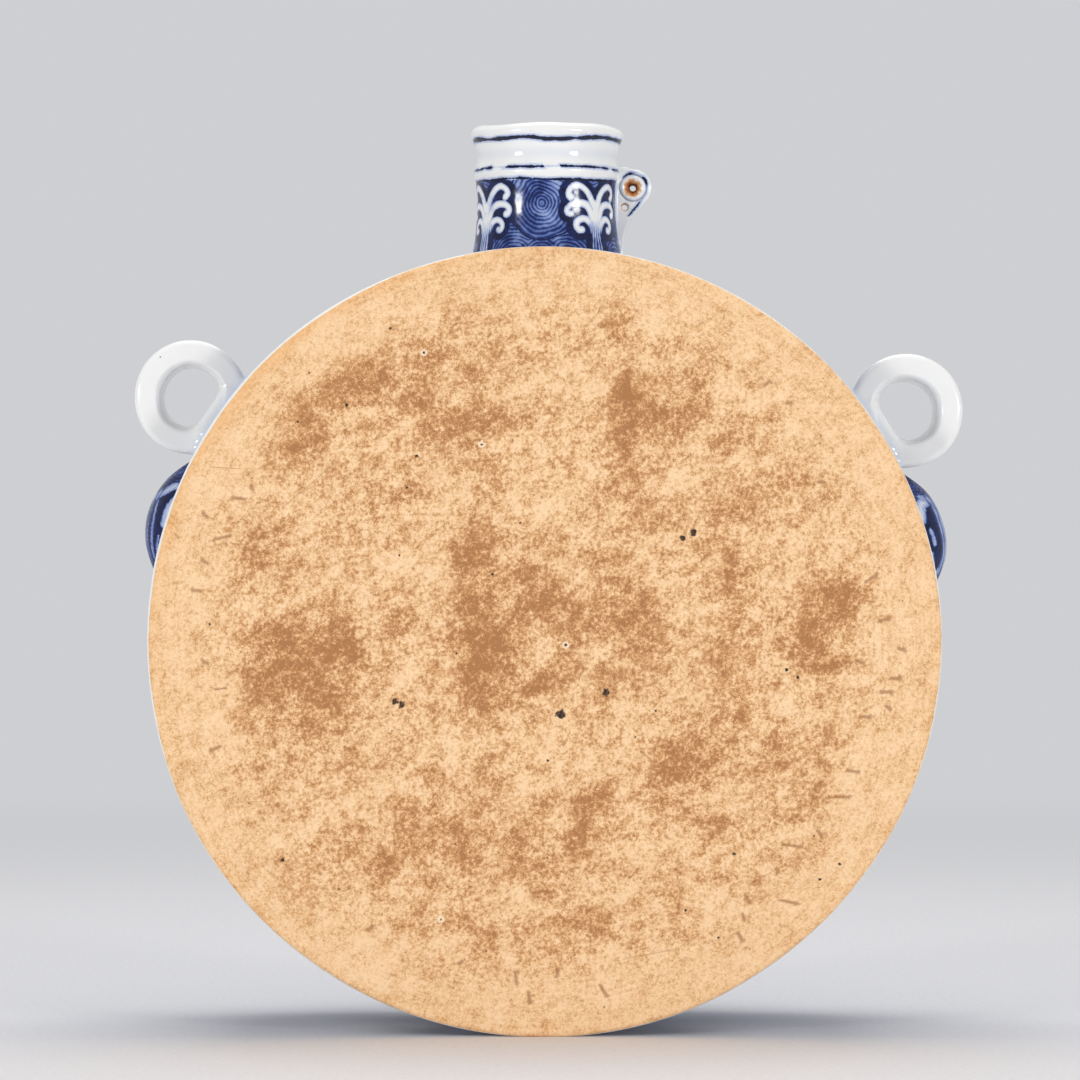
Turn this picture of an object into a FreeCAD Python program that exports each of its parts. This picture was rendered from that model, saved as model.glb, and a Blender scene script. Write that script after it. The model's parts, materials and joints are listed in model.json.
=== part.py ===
import FreeCAD, Part
import math
import os
import Sketcher

# A porcelain pilgrim flask, luted together from separate sections, in millimetres.
# It stands on its rim with +Z up. The flat unglazed back faces -Y, the domed front +Y,
# and the small cord loop of the neck is on the +X side. The origin is the middle of the
# narrow flat that the wall stands on, straight below the neck.

# Driving dimensions: alias, value, meaning
SIZES = [
    # Round body
    ("back_radius", 200.0, "radius of the flat back and of the side wall"),
    ("foot_flat_depth", 0.8, "depth of the flat ground on the rim, on which the flask stands"),
    ("slab_thickness", 8.0, "thickness of the back slab at its rim"),
    ("slab_edge_round", 3.0, "rounding of the back slab's outer edge"),
    ("spigot_height", 4.0, "height of the slab's raised middle, which the wall fits round"),
    ("shell_thickness", 9.0, "thickness of the side wall and of the dome"),
    ("wall_depth", 90.0, "depth of the side wall from the back slab to the dome"),
    ("lap_length", 5.0, "length of the lapped joint between wall and dome"),
    ("lap_thickness", 4.5, "thickness of the wall's tongue in that joint"),
    ("luting_gap", 0.15, "clearance left for slip in every fitted joint"),
    ("dome_skirt", 14.0, "straight edge of the dome before its shoulder begins"),
    ("shoulder_radius", 45.0, "outer radius of the dome's shoulder"),
    ("dome_radius", 500.0, "outer radius of the dome's crown"),
    ("boss_radius", 57.0, "radius of the raised boss on the dome"),
    ("boss_height", 22.0, "height of the boss above its seat"),
    ("boss_crown", 3.0, "swell of the boss's top"),
    ("boss_thickness", 8.0, "thickness of the boss's walls"),
    ("boss_edge_round", 5.0, "rounding of the boss's top edge"),
    ("boss_opening_radius", 44.0, "hole in the dome under the boss"),
    ("seat_ledge", 1.0, "flat ledge of the dome outside the boss"),
    ("back_coil_leg", 10.0, "width and height of the coil in the back's inside corner"),
    ("seam_coil_rise", 4.0, "height of the coil over the seam of wall and dome"),
    ("seam_coil_inset", 1.0, "distance from that coil to the shoulder's start"),
    # Neck and mouth
    ("neck_offset", 1.5, "distance of the neck's axis to the right of the body's middle"),
    ("neck_bore_radius", 29.0, "inner radius of neck and mouth"),
    ("neck_thickness", 8.4, "thickness of the neck's wall where it enters the body"),
    ("neck_root_rise", 2.0, "height of that straight root above the wall's top"),
    ("neck_taper", 1.1, "how much less the neck's outer radius is under its ridge"),
    ("neck_curve_radius", 150.0, "radius of the neck's hollow outline"),
    ("neck_height", 41.8, "height of the neck above the wall's top"),
    ("neck_sink", 4.0, "length of neck that stands past the wall on the inside"),
    ("ridge_height", 7.0, "height of the ridge at the neck's top"),
    ("ridge_curve_radius", 10.0, "radius of the ridge's rounded outline"),
    ("joint_inset", 0.5, "how much less the outer radius is where neck and collar meet"),
    ("collar_lap", 4.0, "height of the neck's tongue inside the collar"),
    ("collar_tongue", 3.5, "thickness of that tongue"),
    ("collar_height", 21.0, "height of the mouth collar"),
    ("collar_curve_radius", 18.0, "radius of the collar's waist outline"),
    ("lip_flare", 0.9, "how much more the outer radius is where the lip begins"),
    ("lip_height", 6.5, "height of the rolled lip"),
    ("lip_bulge", 2.0, "swell of the lip's outside"),
    ("mouth_round", 7.0, "radius of the lip's inside"),
    # Cord loop on the neck
    ("eyelet_space", 0.1, "space between the eyelet and the line of the neck's root"),
    ("eyelet_radius", 6.7, "outer radius of the eyelet"),
    ("eyelet_bore_radius", 1.65, "radius of the eyelet's hole"),
    ("eyelet_mouth_radius", 4.4, "radius of the funnel at each end of the hole"),
    ("eyelet_mouth_depth", 3.0, "depth of that funnel"),
    ("eyelet_length", 14.0, "length of the eyelet from back to front"),
    ("eyelet_edge_round", 1.5, "rounding of the eyelet's outer edges"),
    ("strap_thickness", 2.9, "thickness of the strap over the eyelet"),
    ("strap_drop", 0.4, "distance of the strap's top below the collar"),
    ("strap_width", 12.0, "width of the strap from back to front"),
    ("strap_slope", 40.0, "angle, in degrees, below the eyelet where the strap runs straight"),
    ("tail_thickness", 2.5, "thickness of the strap's tail on the neck"),
    ("tail_bend_radius", 6.0, "radius of the bend into the tail"),
    ("gap_stand_off", 2.5, "distance of the small gap under the eyelet from the neck's root"),
    ("gap_fall", 9.8, "distance of that gap below the eyelet's axis"),
    ("gap_radius", 1.7, "radius of that gap"),
    # Ring loops on the shoulders
    ("ring_rise", 19.3, "height of each ring's centre above the wall"),
    ("ring_outer_radius", 29.1, "outer radius of the rings"),
    ("ring_hole_radius", 15.0, "radius of the round side of each ring's hole"),
    ("ring_width", 36.0, "width of the rings from back to front"),
    ("ring_edge_round", 3.5, "rounding of the rings' edges"),
    ("pad_height", 9.2, "height of the pad above the wall, which makes the hole's flat side"),
    ("pad_edge_round", 2.0, "rounding of the pad's upper edges"),
    ("left_ring_angle", 34.5, "angle, in degrees, of the left ring above the horizontal"),
    ("right_ring_angle", 32.4, "angle, in degrees, of the right ring above the horizontal"),
    # Lugs on the sides
    ("lug_height", 13.7, "height of the lugs above the wall"),
    ("lug_curve_radius", 42.0, "radius of the lugs' outline along the wall"),
    ("lug_end_radius", 16.0, "radius of the lugs' rounded ends"),
    ("lug_axis_depth", 10.0, "depth of the lugs' turning axis below the wall's surface"),
    ("lug_hole_radius", 4.0, "radius of the cord hole along each lug"),
    ("lug_hole_floor", 0.8, "clay left between the cord hole and the wall"),
    ("left_lug_tuck", 7.65, "how far the left lug's end reaches in under the widest part of its ring"),
    ("right_lug_tuck", 7.65, "how far the right lug's end reaches in under the widest part of its ring"),
]

# Levels and radii that follow from the driving dimensions.
# Heights are above the floor, depths are measured from the back's flat face.
DERIVED = [
    ("centre_height", "dims.back_radius - dims.foot_flat_depth"),
    ("back_face", "-(dims.slab_thickness + dims.wall_depth / 2)"),
    ("wall_inside", "dims.back_radius - dims.shell_thickness"),
    ("wall_front", "dims.slab_thickness + dims.wall_depth"),
    ("tongue_radius", "derived.wall_inside + dims.lap_thickness"),
    ("tongue_front", "derived.wall_front + dims.lap_length"),
    ("floor_depth", "dims.slab_thickness + dims.spigot_height"),
    ("shoulder_depth", "derived.wall_front + dims.dome_skirt"),
    ("shoulder_reach", "dims.back_radius - dims.shoulder_radius"),
    ("arc_distance", "dims.dome_radius - dims.shoulder_radius"),
    ("arc_rise", "sqrt(derived.arc_distance ^ 2 - derived.shoulder_reach ^ 2)"),
    ("dome_centre", "derived.shoulder_depth - derived.arc_rise"),
    ("seat_radius", "dims.boss_radius + dims.seat_ledge"),
    ("seat_depth", "derived.dome_centre + sqrt(dims.dome_radius ^ 2 - derived.seat_radius ^ 2)"),
    ("dome_inside", "dims.dome_radius - dims.shell_thickness"),
    ("boss_front", "derived.seat_depth + dims.boss_height"),
    ("boss_flat", "dims.boss_radius - dims.boss_edge_round"),
    ("coil_half", "dims.dome_skirt - dims.lap_length - dims.seam_coil_inset"),
    ("wall_top", "derived.centre_height + dims.back_radius"),
    ("neck_bottom", "derived.wall_top - dims.shell_thickness - dims.neck_sink"),
    ("neck_root_top", "derived.wall_top + dims.neck_root_rise"),
    ("neck_joint", "derived.wall_top + dims.neck_height"),
    ("ridge_bottom", "derived.neck_joint - dims.ridge_height"),
    ("neck_root_radius", "dims.neck_bore_radius + dims.neck_thickness"),
    ("neck_top_radius", "derived.neck_root_radius - dims.neck_taper"),
    ("joint_radius", "derived.neck_root_radius - dims.joint_inset"),
    ("tongue_outside", "dims.neck_bore_radius + dims.collar_tongue"),
    ("mouth_top", "derived.neck_joint + dims.collar_height"),
    ("lip_foot_radius", "derived.neck_root_radius + dims.lip_flare"),
    ("crest_radius", "dims.neck_bore_radius + dims.mouth_round"),
    ("lip_chord", "sqrt((derived.lip_foot_radius - derived.crest_radius) ^ 2 + dims.lip_height ^ 2)"),
    ("lip_curve_radius", "(derived.lip_chord ^ 2 / 4 + dims.lip_bulge ^ 2) / (2 * dims.lip_bulge)"),
    ("eyelet_reach", "derived.neck_root_radius + dims.eyelet_radius + dims.eyelet_space"),
    ("strap_radius", "dims.eyelet_radius + dims.strap_thickness"),
    ("strap_top", "derived.neck_joint - dims.strap_drop"),
    ("eyelet_height", "derived.strap_top - derived.strap_radius"),
    ("slope_start_x", "derived.eyelet_reach + derived.strap_radius * cos(dims.strap_slope)"),
    ("slope_start_z", "derived.eyelet_height - derived.strap_radius * sin(dims.strap_slope)"),
    ("tail_outside", "derived.neck_root_radius + dims.tail_thickness"),
    ("slope_fall", "(derived.slope_start_x - derived.tail_outside) / tan(dims.strap_slope)"),
    ("bend_corner", "derived.slope_start_z - derived.slope_fall"),
    ("bend_length", "dims.tail_bend_radius * tan(dims.strap_slope / 2)"),
    ("pad_top", "dims.back_radius + dims.pad_height"),
    ("pad_drop", "dims.ring_rise - dims.pad_height"),
    ("ring_centre", "dims.back_radius + dims.ring_rise"),
    ("slot_half", "sqrt(dims.ring_hole_radius ^ 2 - derived.pad_drop ^ 2)"),
    ("pad_half", "derived.slot_half - dims.luting_gap"),
    ("pad_foot", "sqrt(dims.back_radius ^ 2 - derived.pad_half ^ 2)"),
    ("lug_axis", "dims.back_radius - dims.lug_axis_depth"),
    ("lug_bulge", "dims.lug_axis_depth + dims.lug_height"),
    ("lug_sink", "dims.lug_curve_radius - derived.lug_bulge"),
    ("lug_arc_distance", "dims.lug_curve_radius - dims.lug_end_radius"),
    ("lug_end_centre", "sqrt(derived.lug_arc_distance ^ 2 - derived.lug_sink ^ 2)"),
    ("lug_arc_ratio", "dims.lug_curve_radius / derived.lug_arc_distance"),
    ("lug_bend_x", "derived.lug_sink * (derived.lug_arc_ratio - 1)"),
    ("lug_bend_z", "derived.lug_end_centre * derived.lug_arc_ratio"),
    ("lug_half", "derived.lug_end_centre + dims.lug_end_radius"),
    ("lug_hole_reach", "dims.lug_axis_depth + dims.lug_hole_floor + dims.lug_hole_radius"),
    ("lug_spacing", "dims.ring_outer_radius + derived.lug_half"),
    ("left_lug_turn", "(derived.lug_spacing - dims.left_lug_tuck) / dims.back_radius * 180 / pi"),
    ("right_lug_turn", "(derived.lug_spacing - dims.right_lug_tuck) / dims.back_radius * 180 / pi"),
    ("left_lug_angle", "dims.left_ring_angle - derived.left_lug_turn"),
    ("right_lug_angle", "dims.right_ring_angle - derived.right_lug_turn"),
]

# Corners closer to a sketch axis than this lie on it.
ON_AXIS = 1e-6


def add_sheet(doc):
    """Spreadsheet with one aliased cell for each driving dimension."""
    sheet = doc.addObject("Spreadsheet::Sheet", "dims")
    for row, (alias, value, meaning) in enumerate(SIZES, start=1):
        sheet.set(f"A{row}", meaning)
        sheet.set(f"B{row}", str(value))
        sheet.setAlias(f"B{row}", alias)
    doc.recompute()


def add_derived(doc):
    """Set of the values that follow from the spreadsheet."""
    derived = doc.addObject("App::VarSet", "derived")
    for name, formula in DERIVED:
        derived.addProperty("App::PropertyFloat", name)
        derived.setExpression(name, formula)
        doc.recompute()


def new_body(doc, label, placement):
    """Empty body with its own label, placed by an expression."""
    body = doc.addObject("PartDesign::Body", label)
    body.Label = label
    body.setExpression("Placement", placement)
    return body


def place(x, y, z, turn="0"):
    """Placement expression: a point, and a turn in degrees about the Y axis."""
    return f"placement(vector({x}; {y}; {z}); rotation(vector(0; 1; 0); {turn}))"


def new_sketch(body, role, name):
    """Sketch on one of the body's own origin planes."""
    sketch = body.newObject("Sketcher::SketchObject", name)
    plane = next(item for item in body.Origin.OriginFeatures if item.Role == role)
    sketch.AttachmentSupport = (plane, [""])
    sketch.MapMode = "FlatFace"
    return sketch


def bind_coordinate(sketch, kind, axis, curve, point, formula):
    """Tie one coordinate of a sketch point to an expression."""
    value = float(sketch.evalExpression(formula))
    if abs(value) < ON_AXIS:
        sketch.addConstraint(Sketcher.Constraint("PointOnObject", curve, point, axis))
        return
    if value > 0:
        index = sketch.addConstraint(Sketcher.Constraint(kind, -1, 1, curve, point, value))
        sketch.setExpression(f".Constraints[{index}]", formula)
        return
    index = sketch.addConstraint(Sketcher.Constraint(kind, curve, point, -1, 1, -value))
    sketch.setExpression(f".Constraints[{index}]", f"-({formula})")


def bind_point(sketch, curve, point, x, y):
    """Tie a sketch point to a pair of expressions."""
    bind_coordinate(sketch, "DistanceX", -2, curve, point, x)
    bind_coordinate(sketch, "DistanceY", -1, curve, point, y)


def bind_radius(sketch, curve, formula):
    """Tie the radius of an arc or circle to an expression."""
    value = float(sketch.evalExpression(formula))
    index = sketch.addConstraint(Sketcher.Constraint("Radius", curve, value))
    sketch.setExpression(f".Constraints[{index}]", formula)


def add_circle(sketch, x, y, radius):
    """Circle bound to expressions for its centre and its radius."""
    centre = FreeCAD.Vector(*(float(sketch.evalExpression(item)) for item in (x, y)), 0)
    size = float(sketch.evalExpression(radius))
    curve = sketch.addGeometry(Part.Circle(centre, FreeCAD.Vector(0, 0, 1), size), False)
    bind_point(sketch, curve, 3, x, y)
    bind_radius(sketch, curve, radius)


def arc_between(first, last, radius, side):
    """Arc of less than a half circle, its centre on the left or right of the way it runs."""
    chord = last - first
    across = FreeCAD.Vector(-chord.y, chord.x, 0).normalize()
    offset = math.sqrt(radius ** 2 - (chord.Length / 2) ** 2)
    if side == "right":
        offset = -offset
    centre = (first + last) / 2 + across * offset
    begin, end = (first, last) if side == "left" else (last, first)
    angles = [math.atan2(point.y - centre.y, point.x - centre.x) for point in (begin, end)]
    return Part.ArcOfCircle(Part.Circle(centre, FreeCAD.Vector(0, 0, 1), radius), *angles)


def add_outline(sketch, corners):
    """Closed outline through corners given as expressions.

    A corner is (x, y), reached by a straight line, or (x, y, radius, side), reached by an arc
    whose centre is on that side of the way round.
    """
    points = []
    for corner in corners:
        x, y = (float(sketch.evalExpression(item)) for item in corner[:2])
        points.append(FreeCAD.Vector(x, y, 0))
    joints = []
    for number, corner in enumerate(corners):
        first, last = points[number - 1], points[number]
        if len(corner) == 2:
            curve = sketch.addGeometry(Part.LineSegment(first, last), False)
            joints.append((curve, 1, 2))
            continue
        radius = float(sketch.evalExpression(corner[2]))
        curve = sketch.addGeometry(arc_between(first, last, radius, corner[3]), False)
        joints.append((curve, 1, 2) if corner[3] == "left" else (curve, 2, 1))
        bind_radius(sketch, curve, corner[2])
    for number, corner in enumerate(corners):
        curve, _, end = joints[number]
        following, start, _ = joints[(number + 1) % len(joints)]
        sketch.addConstraint(Sketcher.Constraint("Coincident", curve, end, following, start))
        bind_point(sketch, curve, end, corner[0], corner[1])


def revolve(body, role, corners, name="Profile"):
    """Solid of revolution about the sketch's vertical axis."""
    sketch = new_sketch(body, role, name)
    add_outline(sketch, corners)
    solid = body.newObject("PartDesign::Revolution", "Turned")
    solid.Profile = sketch
    solid.ReferenceAxis = (sketch, ["V_Axis"])
    solid.Angle = 360
    body.Document.recompute()
    return solid


def pad(body, sketch, width):
    """Solid as wide as the expression says, half to each side of its sketch."""
    solid = body.newObject("PartDesign::Pad", "Body")
    solid.Profile = sketch
    solid.SideType = "Symmetric"
    solid.setExpression("Length", width)
    body.Document.recompute()
    return solid


def require_cut(body, before):
    """Stop if the last cut of a body took nothing away."""
    body.Document.recompute()
    if not body.Shape.Volume < before:
        raise RuntimeError(f"a cut in {body.Label} removes nothing")


def pocket(body, sketch, name, both_ways=True, upward=False):
    """Cut right through the body, both ways from the sketch or one way only."""
    before = body.Shape.Volume
    cut = body.newObject("PartDesign::Pocket", name)
    cut.Profile = sketch
    cut.Type = "ThroughAll"
    if both_ways:
        cut.SideType = "Symmetric"
    cut.Reversed = upward
    require_cut(body, before)


def round_edges(body, base, choose, radius, name):
    """Fillet on the edges of a feature that the chooser accepts."""
    edges = [f"Edge{number}" for number, edge in enumerate(base.Shape.Edges, start=1) if choose(edge)]
    if not edges:
        raise RuntimeError(f"no edge to round in {body.Label}")
    fillet = body.newObject("PartDesign::Fillet", name)
    fillet.Base = (base, edges)
    fillet.setExpression("Radius", radius)
    body.Document.recompute()


def grind_foot(body):
    """Flat on the rim that the flask stands on, cut across the lowest part of a round section."""
    sketch = new_sketch(body, "XY_Plane", "FootOutline")
    sketch.setExpression("AttachmentOffset", place("0", "0", "-derived.centre_height"))
    side = "dims.back_radius"
    far = "derived.wall_front + dims.shoulder_radius + dims.dome_skirt"
    near = "-dims.slab_thickness"
    add_outline(sketch, [(f"-{side}", near), (side, near), (side, far), (f"-{side}", far)])
    pocket(body, sketch, "FootFlat", both_ways=False)


def cut_neck_hole(body):
    """Round hole in the top of a section, which the neck passes through."""
    sketch = new_sketch(body, "XY_Plane", "NeckHoleOutline")
    add_circle(sketch, "dims.neck_offset", "-derived.back_face",
               "derived.neck_root_radius + dims.luting_gap")
    pocket(body, sketch, "NeckHole", both_ways=False, upward=True)


def body_place():
    """Placement of the sections turned about the body's axis, which runs along Y."""
    return place("0", "derived.back_face", "derived.centre_height")


def make_back_plate(doc):
    """Flat unglazed slab with a raised middle on its inside."""
    body = new_body(doc, "back_plate", body_place())
    spigot = "derived.wall_inside - dims.luting_gap"
    revolve(body, "XY_Plane", [
        ("0", "0"),
        ("dims.back_radius - dims.slab_edge_round", "0"),
        ("dims.back_radius", "dims.slab_edge_round", "dims.slab_edge_round", "left"),
        ("dims.back_radius", "dims.slab_thickness"),
        (spigot, "dims.slab_thickness"),
        (spigot, "derived.floor_depth"),
        ("0", "derived.floor_depth"),
    ])
    grind_foot(body)
    return body


def make_side_wall(doc):
    """Round band between back and dome, with the hole that the neck stands in."""
    body = new_body(doc, "side_wall", body_place())
    revolve(body, "XY_Plane", [
        ("derived.wall_inside", "dims.slab_thickness"),
        ("dims.back_radius", "dims.slab_thickness"),
        ("dims.back_radius", "derived.wall_front"),
        ("derived.tongue_radius", "derived.wall_front"),
        ("derived.tongue_radius", "derived.tongue_front"),
        ("derived.wall_inside", "derived.tongue_front"),
    ])
    grind_foot(body)
    cut_neck_hole(body)
    return body


def make_front_dome(doc):
    """Domed front with a rounded shoulder and a flat seat for the boss."""
    body = new_body(doc, "front_dome", body_place())
    share = "derived.shoulder_reach / derived.arc_distance"
    rise = "derived.arc_rise / derived.arc_distance"
    lap_radius = "derived.tongue_radius + dims.luting_gap"
    lap_front = "derived.tongue_front + dims.luting_gap"
    hole_edge = "derived.dome_centre + sqrt(derived.dome_inside ^ 2 - dims.boss_opening_radius ^ 2)"
    revolve(body, "XY_Plane", [
        (lap_radius, "derived.wall_front"),
        ("dims.back_radius", "derived.wall_front"),
        ("dims.back_radius", "derived.shoulder_depth"),
        (f"dims.dome_radius * {share}", f"derived.dome_centre + dims.dome_radius * {rise}",
         "dims.shoulder_radius", "left"),
        ("derived.seat_radius", "derived.seat_depth", "dims.dome_radius", "left"),
        ("dims.boss_opening_radius", "derived.seat_depth"),
        ("dims.boss_opening_radius", hole_edge),
        (f"derived.dome_inside * {share}", f"derived.dome_centre + derived.dome_inside * {rise}",
         "derived.dome_inside", "right"),
        ("derived.wall_inside", "derived.shoulder_depth",
         "dims.shoulder_radius - dims.shell_thickness", "right"),
        ("derived.wall_inside", lap_front),
        (lap_radius, lap_front),
    ])
    grind_foot(body)
    return body


def make_front_boss(doc):
    """Round cap on the dome, open to the inside of the flask."""
    body = new_body(doc, "front_boss", body_place())
    inside = "dims.boss_radius - dims.boss_thickness"
    crown_radius = "(derived.boss_flat ^ 2 + dims.boss_crown ^ 2) / (2 * dims.boss_crown)"
    ceiling = "derived.boss_front - dims.boss_thickness"
    revolve(body, "XY_Plane", [
        (inside, "derived.seat_depth"),
        ("dims.boss_radius", "derived.seat_depth"),
        ("dims.boss_radius", "derived.boss_front - dims.boss_edge_round"),
        ("derived.boss_flat", "derived.boss_front", "dims.boss_edge_round", "left"),
        ("0", "derived.boss_front + dims.boss_crown", crown_radius, "left"),
        ("0", ceiling),
        (inside, ceiling),
    ])
    return body


def make_back_seam_coil(doc):
    """Coil pressed into the inside corner of back and wall, and cut away round the neck's root."""
    body = new_body(doc, "back_seam_coil", body_place())
    outside = "derived.wall_inside - dims.luting_gap"
    revolve(body, "XY_Plane", [
        (outside, "derived.floor_depth"),
        (outside, "derived.floor_depth + dims.back_coil_leg"),
        (f"{outside} - dims.back_coil_leg", "derived.floor_depth", "dims.back_coil_leg", "right"),
    ])
    cut_neck_hole(body)
    return body


def make_dome_seam_coil(doc):
    """Coil pressed over the inside of the joint between wall and dome."""
    body = new_body(doc, "dome_seam_coil", body_place())
    outside = "derived.wall_inside - dims.luting_gap"
    curve = "(derived.coil_half ^ 2 + dims.seam_coil_rise ^ 2) / (2 * dims.seam_coil_rise)"
    revolve(body, "XY_Plane", [
        (outside, "derived.tongue_front + derived.coil_half"),
        (f"{outside} - dims.seam_coil_rise", "derived.tongue_front", curve, "left"),
        (outside, "derived.tongue_front - derived.coil_half", curve, "left"),
    ])
    return body


def neck_place():
    """Placement of the sections turned about the neck's upright axis."""
    return place("dims.neck_offset", "0", "0")


def neck_outside():
    """Corners of the neck's outer outline, from its bottom to its joint with the collar."""
    return [
        ("derived.neck_root_radius", "derived.neck_bottom"),
        ("derived.neck_root_radius", "derived.neck_root_top"),
        ("derived.neck_top_radius", "derived.ridge_bottom", "dims.neck_curve_radius", "right"),
        ("derived.joint_radius", "derived.neck_joint", "dims.ridge_curve_radius", "left"),
    ]


def make_neck(doc):
    """Tube let into the wall, with a ridge and a tongue for the collar at its top."""
    body = new_body(doc, "neck", neck_place())
    tongue_top = "derived.neck_joint + dims.collar_lap"
    revolve(body, "XZ_Plane", [("dims.neck_bore_radius", "derived.neck_bottom")] + neck_outside() + [
        ("derived.tongue_outside", "derived.neck_joint"),
        ("derived.tongue_outside", tongue_top),
        ("dims.neck_bore_radius", tongue_top),
    ])
    return body


def make_mouth_collar(doc):
    """Waisted collar with a rolled lip, lapped over the neck's tongue."""
    body = new_body(doc, "mouth_collar", neck_place())
    lap_radius = "derived.tongue_outside + dims.luting_gap"
    lap_top = "derived.neck_joint + dims.collar_lap + dims.luting_gap"
    revolve(body, "XZ_Plane", [
        (lap_radius, "derived.neck_joint"),
        ("derived.joint_radius", "derived.neck_joint"),
        ("derived.lip_foot_radius", "derived.mouth_top - dims.lip_height",
         "dims.collar_curve_radius", "right"),
        ("derived.crest_radius", "derived.mouth_top", "derived.lip_curve_radius", "left"),
        ("dims.neck_bore_radius", "derived.mouth_top - dims.mouth_round", "dims.mouth_round", "left"),
        ("dims.neck_bore_radius", lap_top),
        (lap_radius, lap_top),
    ])
    return body


def make_neck_loop_strap(doc):
    """Strap bent round the eyelet, with a tail that runs down the neck to the wall."""
    body = new_body(doc, "neck_loop_strap", neck_place())
    inside = "dims.neck_bore_radius"
    sketch = new_sketch(body, "XZ_Plane", "StrapOutline")
    add_outline(sketch, [
        (inside, "derived.neck_bottom"),
        (inside, "derived.strap_top"),
        ("derived.eyelet_reach", "derived.strap_top"),
        ("derived.eyelet_reach + derived.strap_radius", "derived.eyelet_height",
         "derived.strap_radius", "right"),
        ("derived.slope_start_x", "derived.slope_start_z", "derived.strap_radius", "right"),
        ("derived.tail_outside + derived.bend_length * sin(dims.strap_slope)",
         "derived.bend_corner + derived.bend_length * cos(dims.strap_slope)"),
        ("derived.tail_outside", "derived.bend_corner - derived.bend_length",
         "dims.tail_bend_radius", "left"),
        ("derived.tail_outside", "derived.neck_bottom"),
    ])
    add_circle(sketch, "derived.eyelet_reach", "derived.eyelet_height",
               "dims.eyelet_radius + dims.luting_gap")
    add_circle(sketch, "derived.neck_root_radius + dims.gap_stand_off",
               "derived.eyelet_height - dims.gap_fall", "dims.gap_radius")
    pad(body, sketch, "dims.strap_width")

    before = body.Shape.Volume
    seat = new_sketch(body, "XZ_Plane", "NeckSeatOutline")
    add_outline(seat, [("0", "derived.neck_bottom")] + neck_outside() + [("0", "derived.neck_joint")])
    groove = body.newObject("PartDesign::Groove", "NeckSeat")
    groove.Profile = seat
    groove.ReferenceAxis = (seat, ["V_Axis"])
    groove.Angle = 360
    require_cut(body, before)

    wall = new_sketch(body, "XZ_Plane", "WallSeatOutline")
    add_circle(wall, "-dims.neck_offset", "derived.centre_height", "dims.back_radius + dims.luting_gap")
    pocket(body, wall, "WallSeat")
    return body


def make_neck_loop_eyelet(doc):
    """Short thick tube held in the strap, with a funnel at each end of its hole."""
    reach = "dims.neck_offset + derived.eyelet_reach"
    body = new_body(doc, "neck_loop_eyelet", place(reach, "0", "derived.eyelet_height"))
    half = "dims.eyelet_length / 2"
    edge = "dims.eyelet_edge_round"
    revolve(body, "XY_Plane", [
        ("dims.eyelet_bore_radius", f"dims.eyelet_mouth_depth - {half}"),
        ("dims.eyelet_mouth_radius", f"-({half})"),
        (f"dims.eyelet_radius - {edge}", f"-({half})"),
        ("dims.eyelet_radius", f"{edge} - {half}", edge, "left"),
        ("dims.eyelet_radius", f"{half} - {edge}"),
        (f"dims.eyelet_radius - {edge}", half, edge, "left"),
        ("dims.eyelet_mouth_radius", half),
        ("dims.eyelet_bore_radius", f"{half} - dims.eyelet_mouth_depth"),
    ])
    return body


def side_turn(side, angle):
    """Turn about Y that points a body's own X axis away from the middle, above the horizontal."""
    return f"{angle} - 180" if side == "left" else f"-{angle}"


def make_ring_loop(doc, side):
    """Ring handle that stands on the wall, with a slot for its pad."""
    turn = side_turn(side, f"dims.{side}_ring_angle")
    body = new_body(doc, f"{side}_ring_loop", place("0", "0", "derived.centre_height", turn))
    sketch = new_sketch(body, "XZ_Plane", "RingOutline")
    add_circle(sketch, "derived.ring_centre", "0", "dims.ring_outer_radius")
    add_circle(sketch, "derived.ring_centre", "0", "dims.ring_hole_radius")
    ring = pad(body, sketch, "dims.ring_width")
    round_edges(body, ring, lambda edge: edge.isClosed(), "dims.ring_edge_round", "RoundedEdges")

    wall = new_sketch(body, "XZ_Plane", "WallSeatOutline")
    add_circle(wall, "0", "0", "dims.back_radius")
    pocket(body, wall, "WallSeat")

    slot = new_sketch(body, "XZ_Plane", "PadSlotOutline")
    add_outline(slot, [
        ("derived.wall_inside", "-derived.slot_half"),
        ("derived.pad_top", "-derived.slot_half"),
        ("derived.pad_top", "derived.slot_half"),
        ("derived.wall_inside", "derived.slot_half"),
    ])
    pocket(body, slot, "PadSlot")
    return body


def make_ring_pad(doc, side):
    """Saddle between a ring's feet, which makes the flat side of its hole."""
    turn = side_turn(side, f"dims.{side}_ring_angle")
    body = new_body(doc, f"{side}_ring_pad", place("0", "0", "derived.centre_height", turn))
    sketch = new_sketch(body, "XZ_Plane", "PadOutline")
    add_outline(sketch, [
        ("derived.pad_foot", "-derived.pad_half", "dims.back_radius", "right"),
        ("derived.pad_top", "-derived.pad_half"),
        ("derived.pad_top", "derived.pad_half"),
        ("derived.pad_foot", "derived.pad_half"),
    ])
    block = pad(body, sketch, "dims.ring_width")
    top = float(body.evalExpression("derived.pad_top"))

    def is_top_edge(edge):
        ends = [vertex.Point for vertex in edge.Vertexes]
        return all(abs(point.x - top) < ON_AXIS for point in ends) and abs(ends[0].y - ends[1].y) < ON_AXIS

    round_edges(body, block, is_top_edge, "dims.pad_edge_round", "RoundedEdges")
    return body


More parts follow.
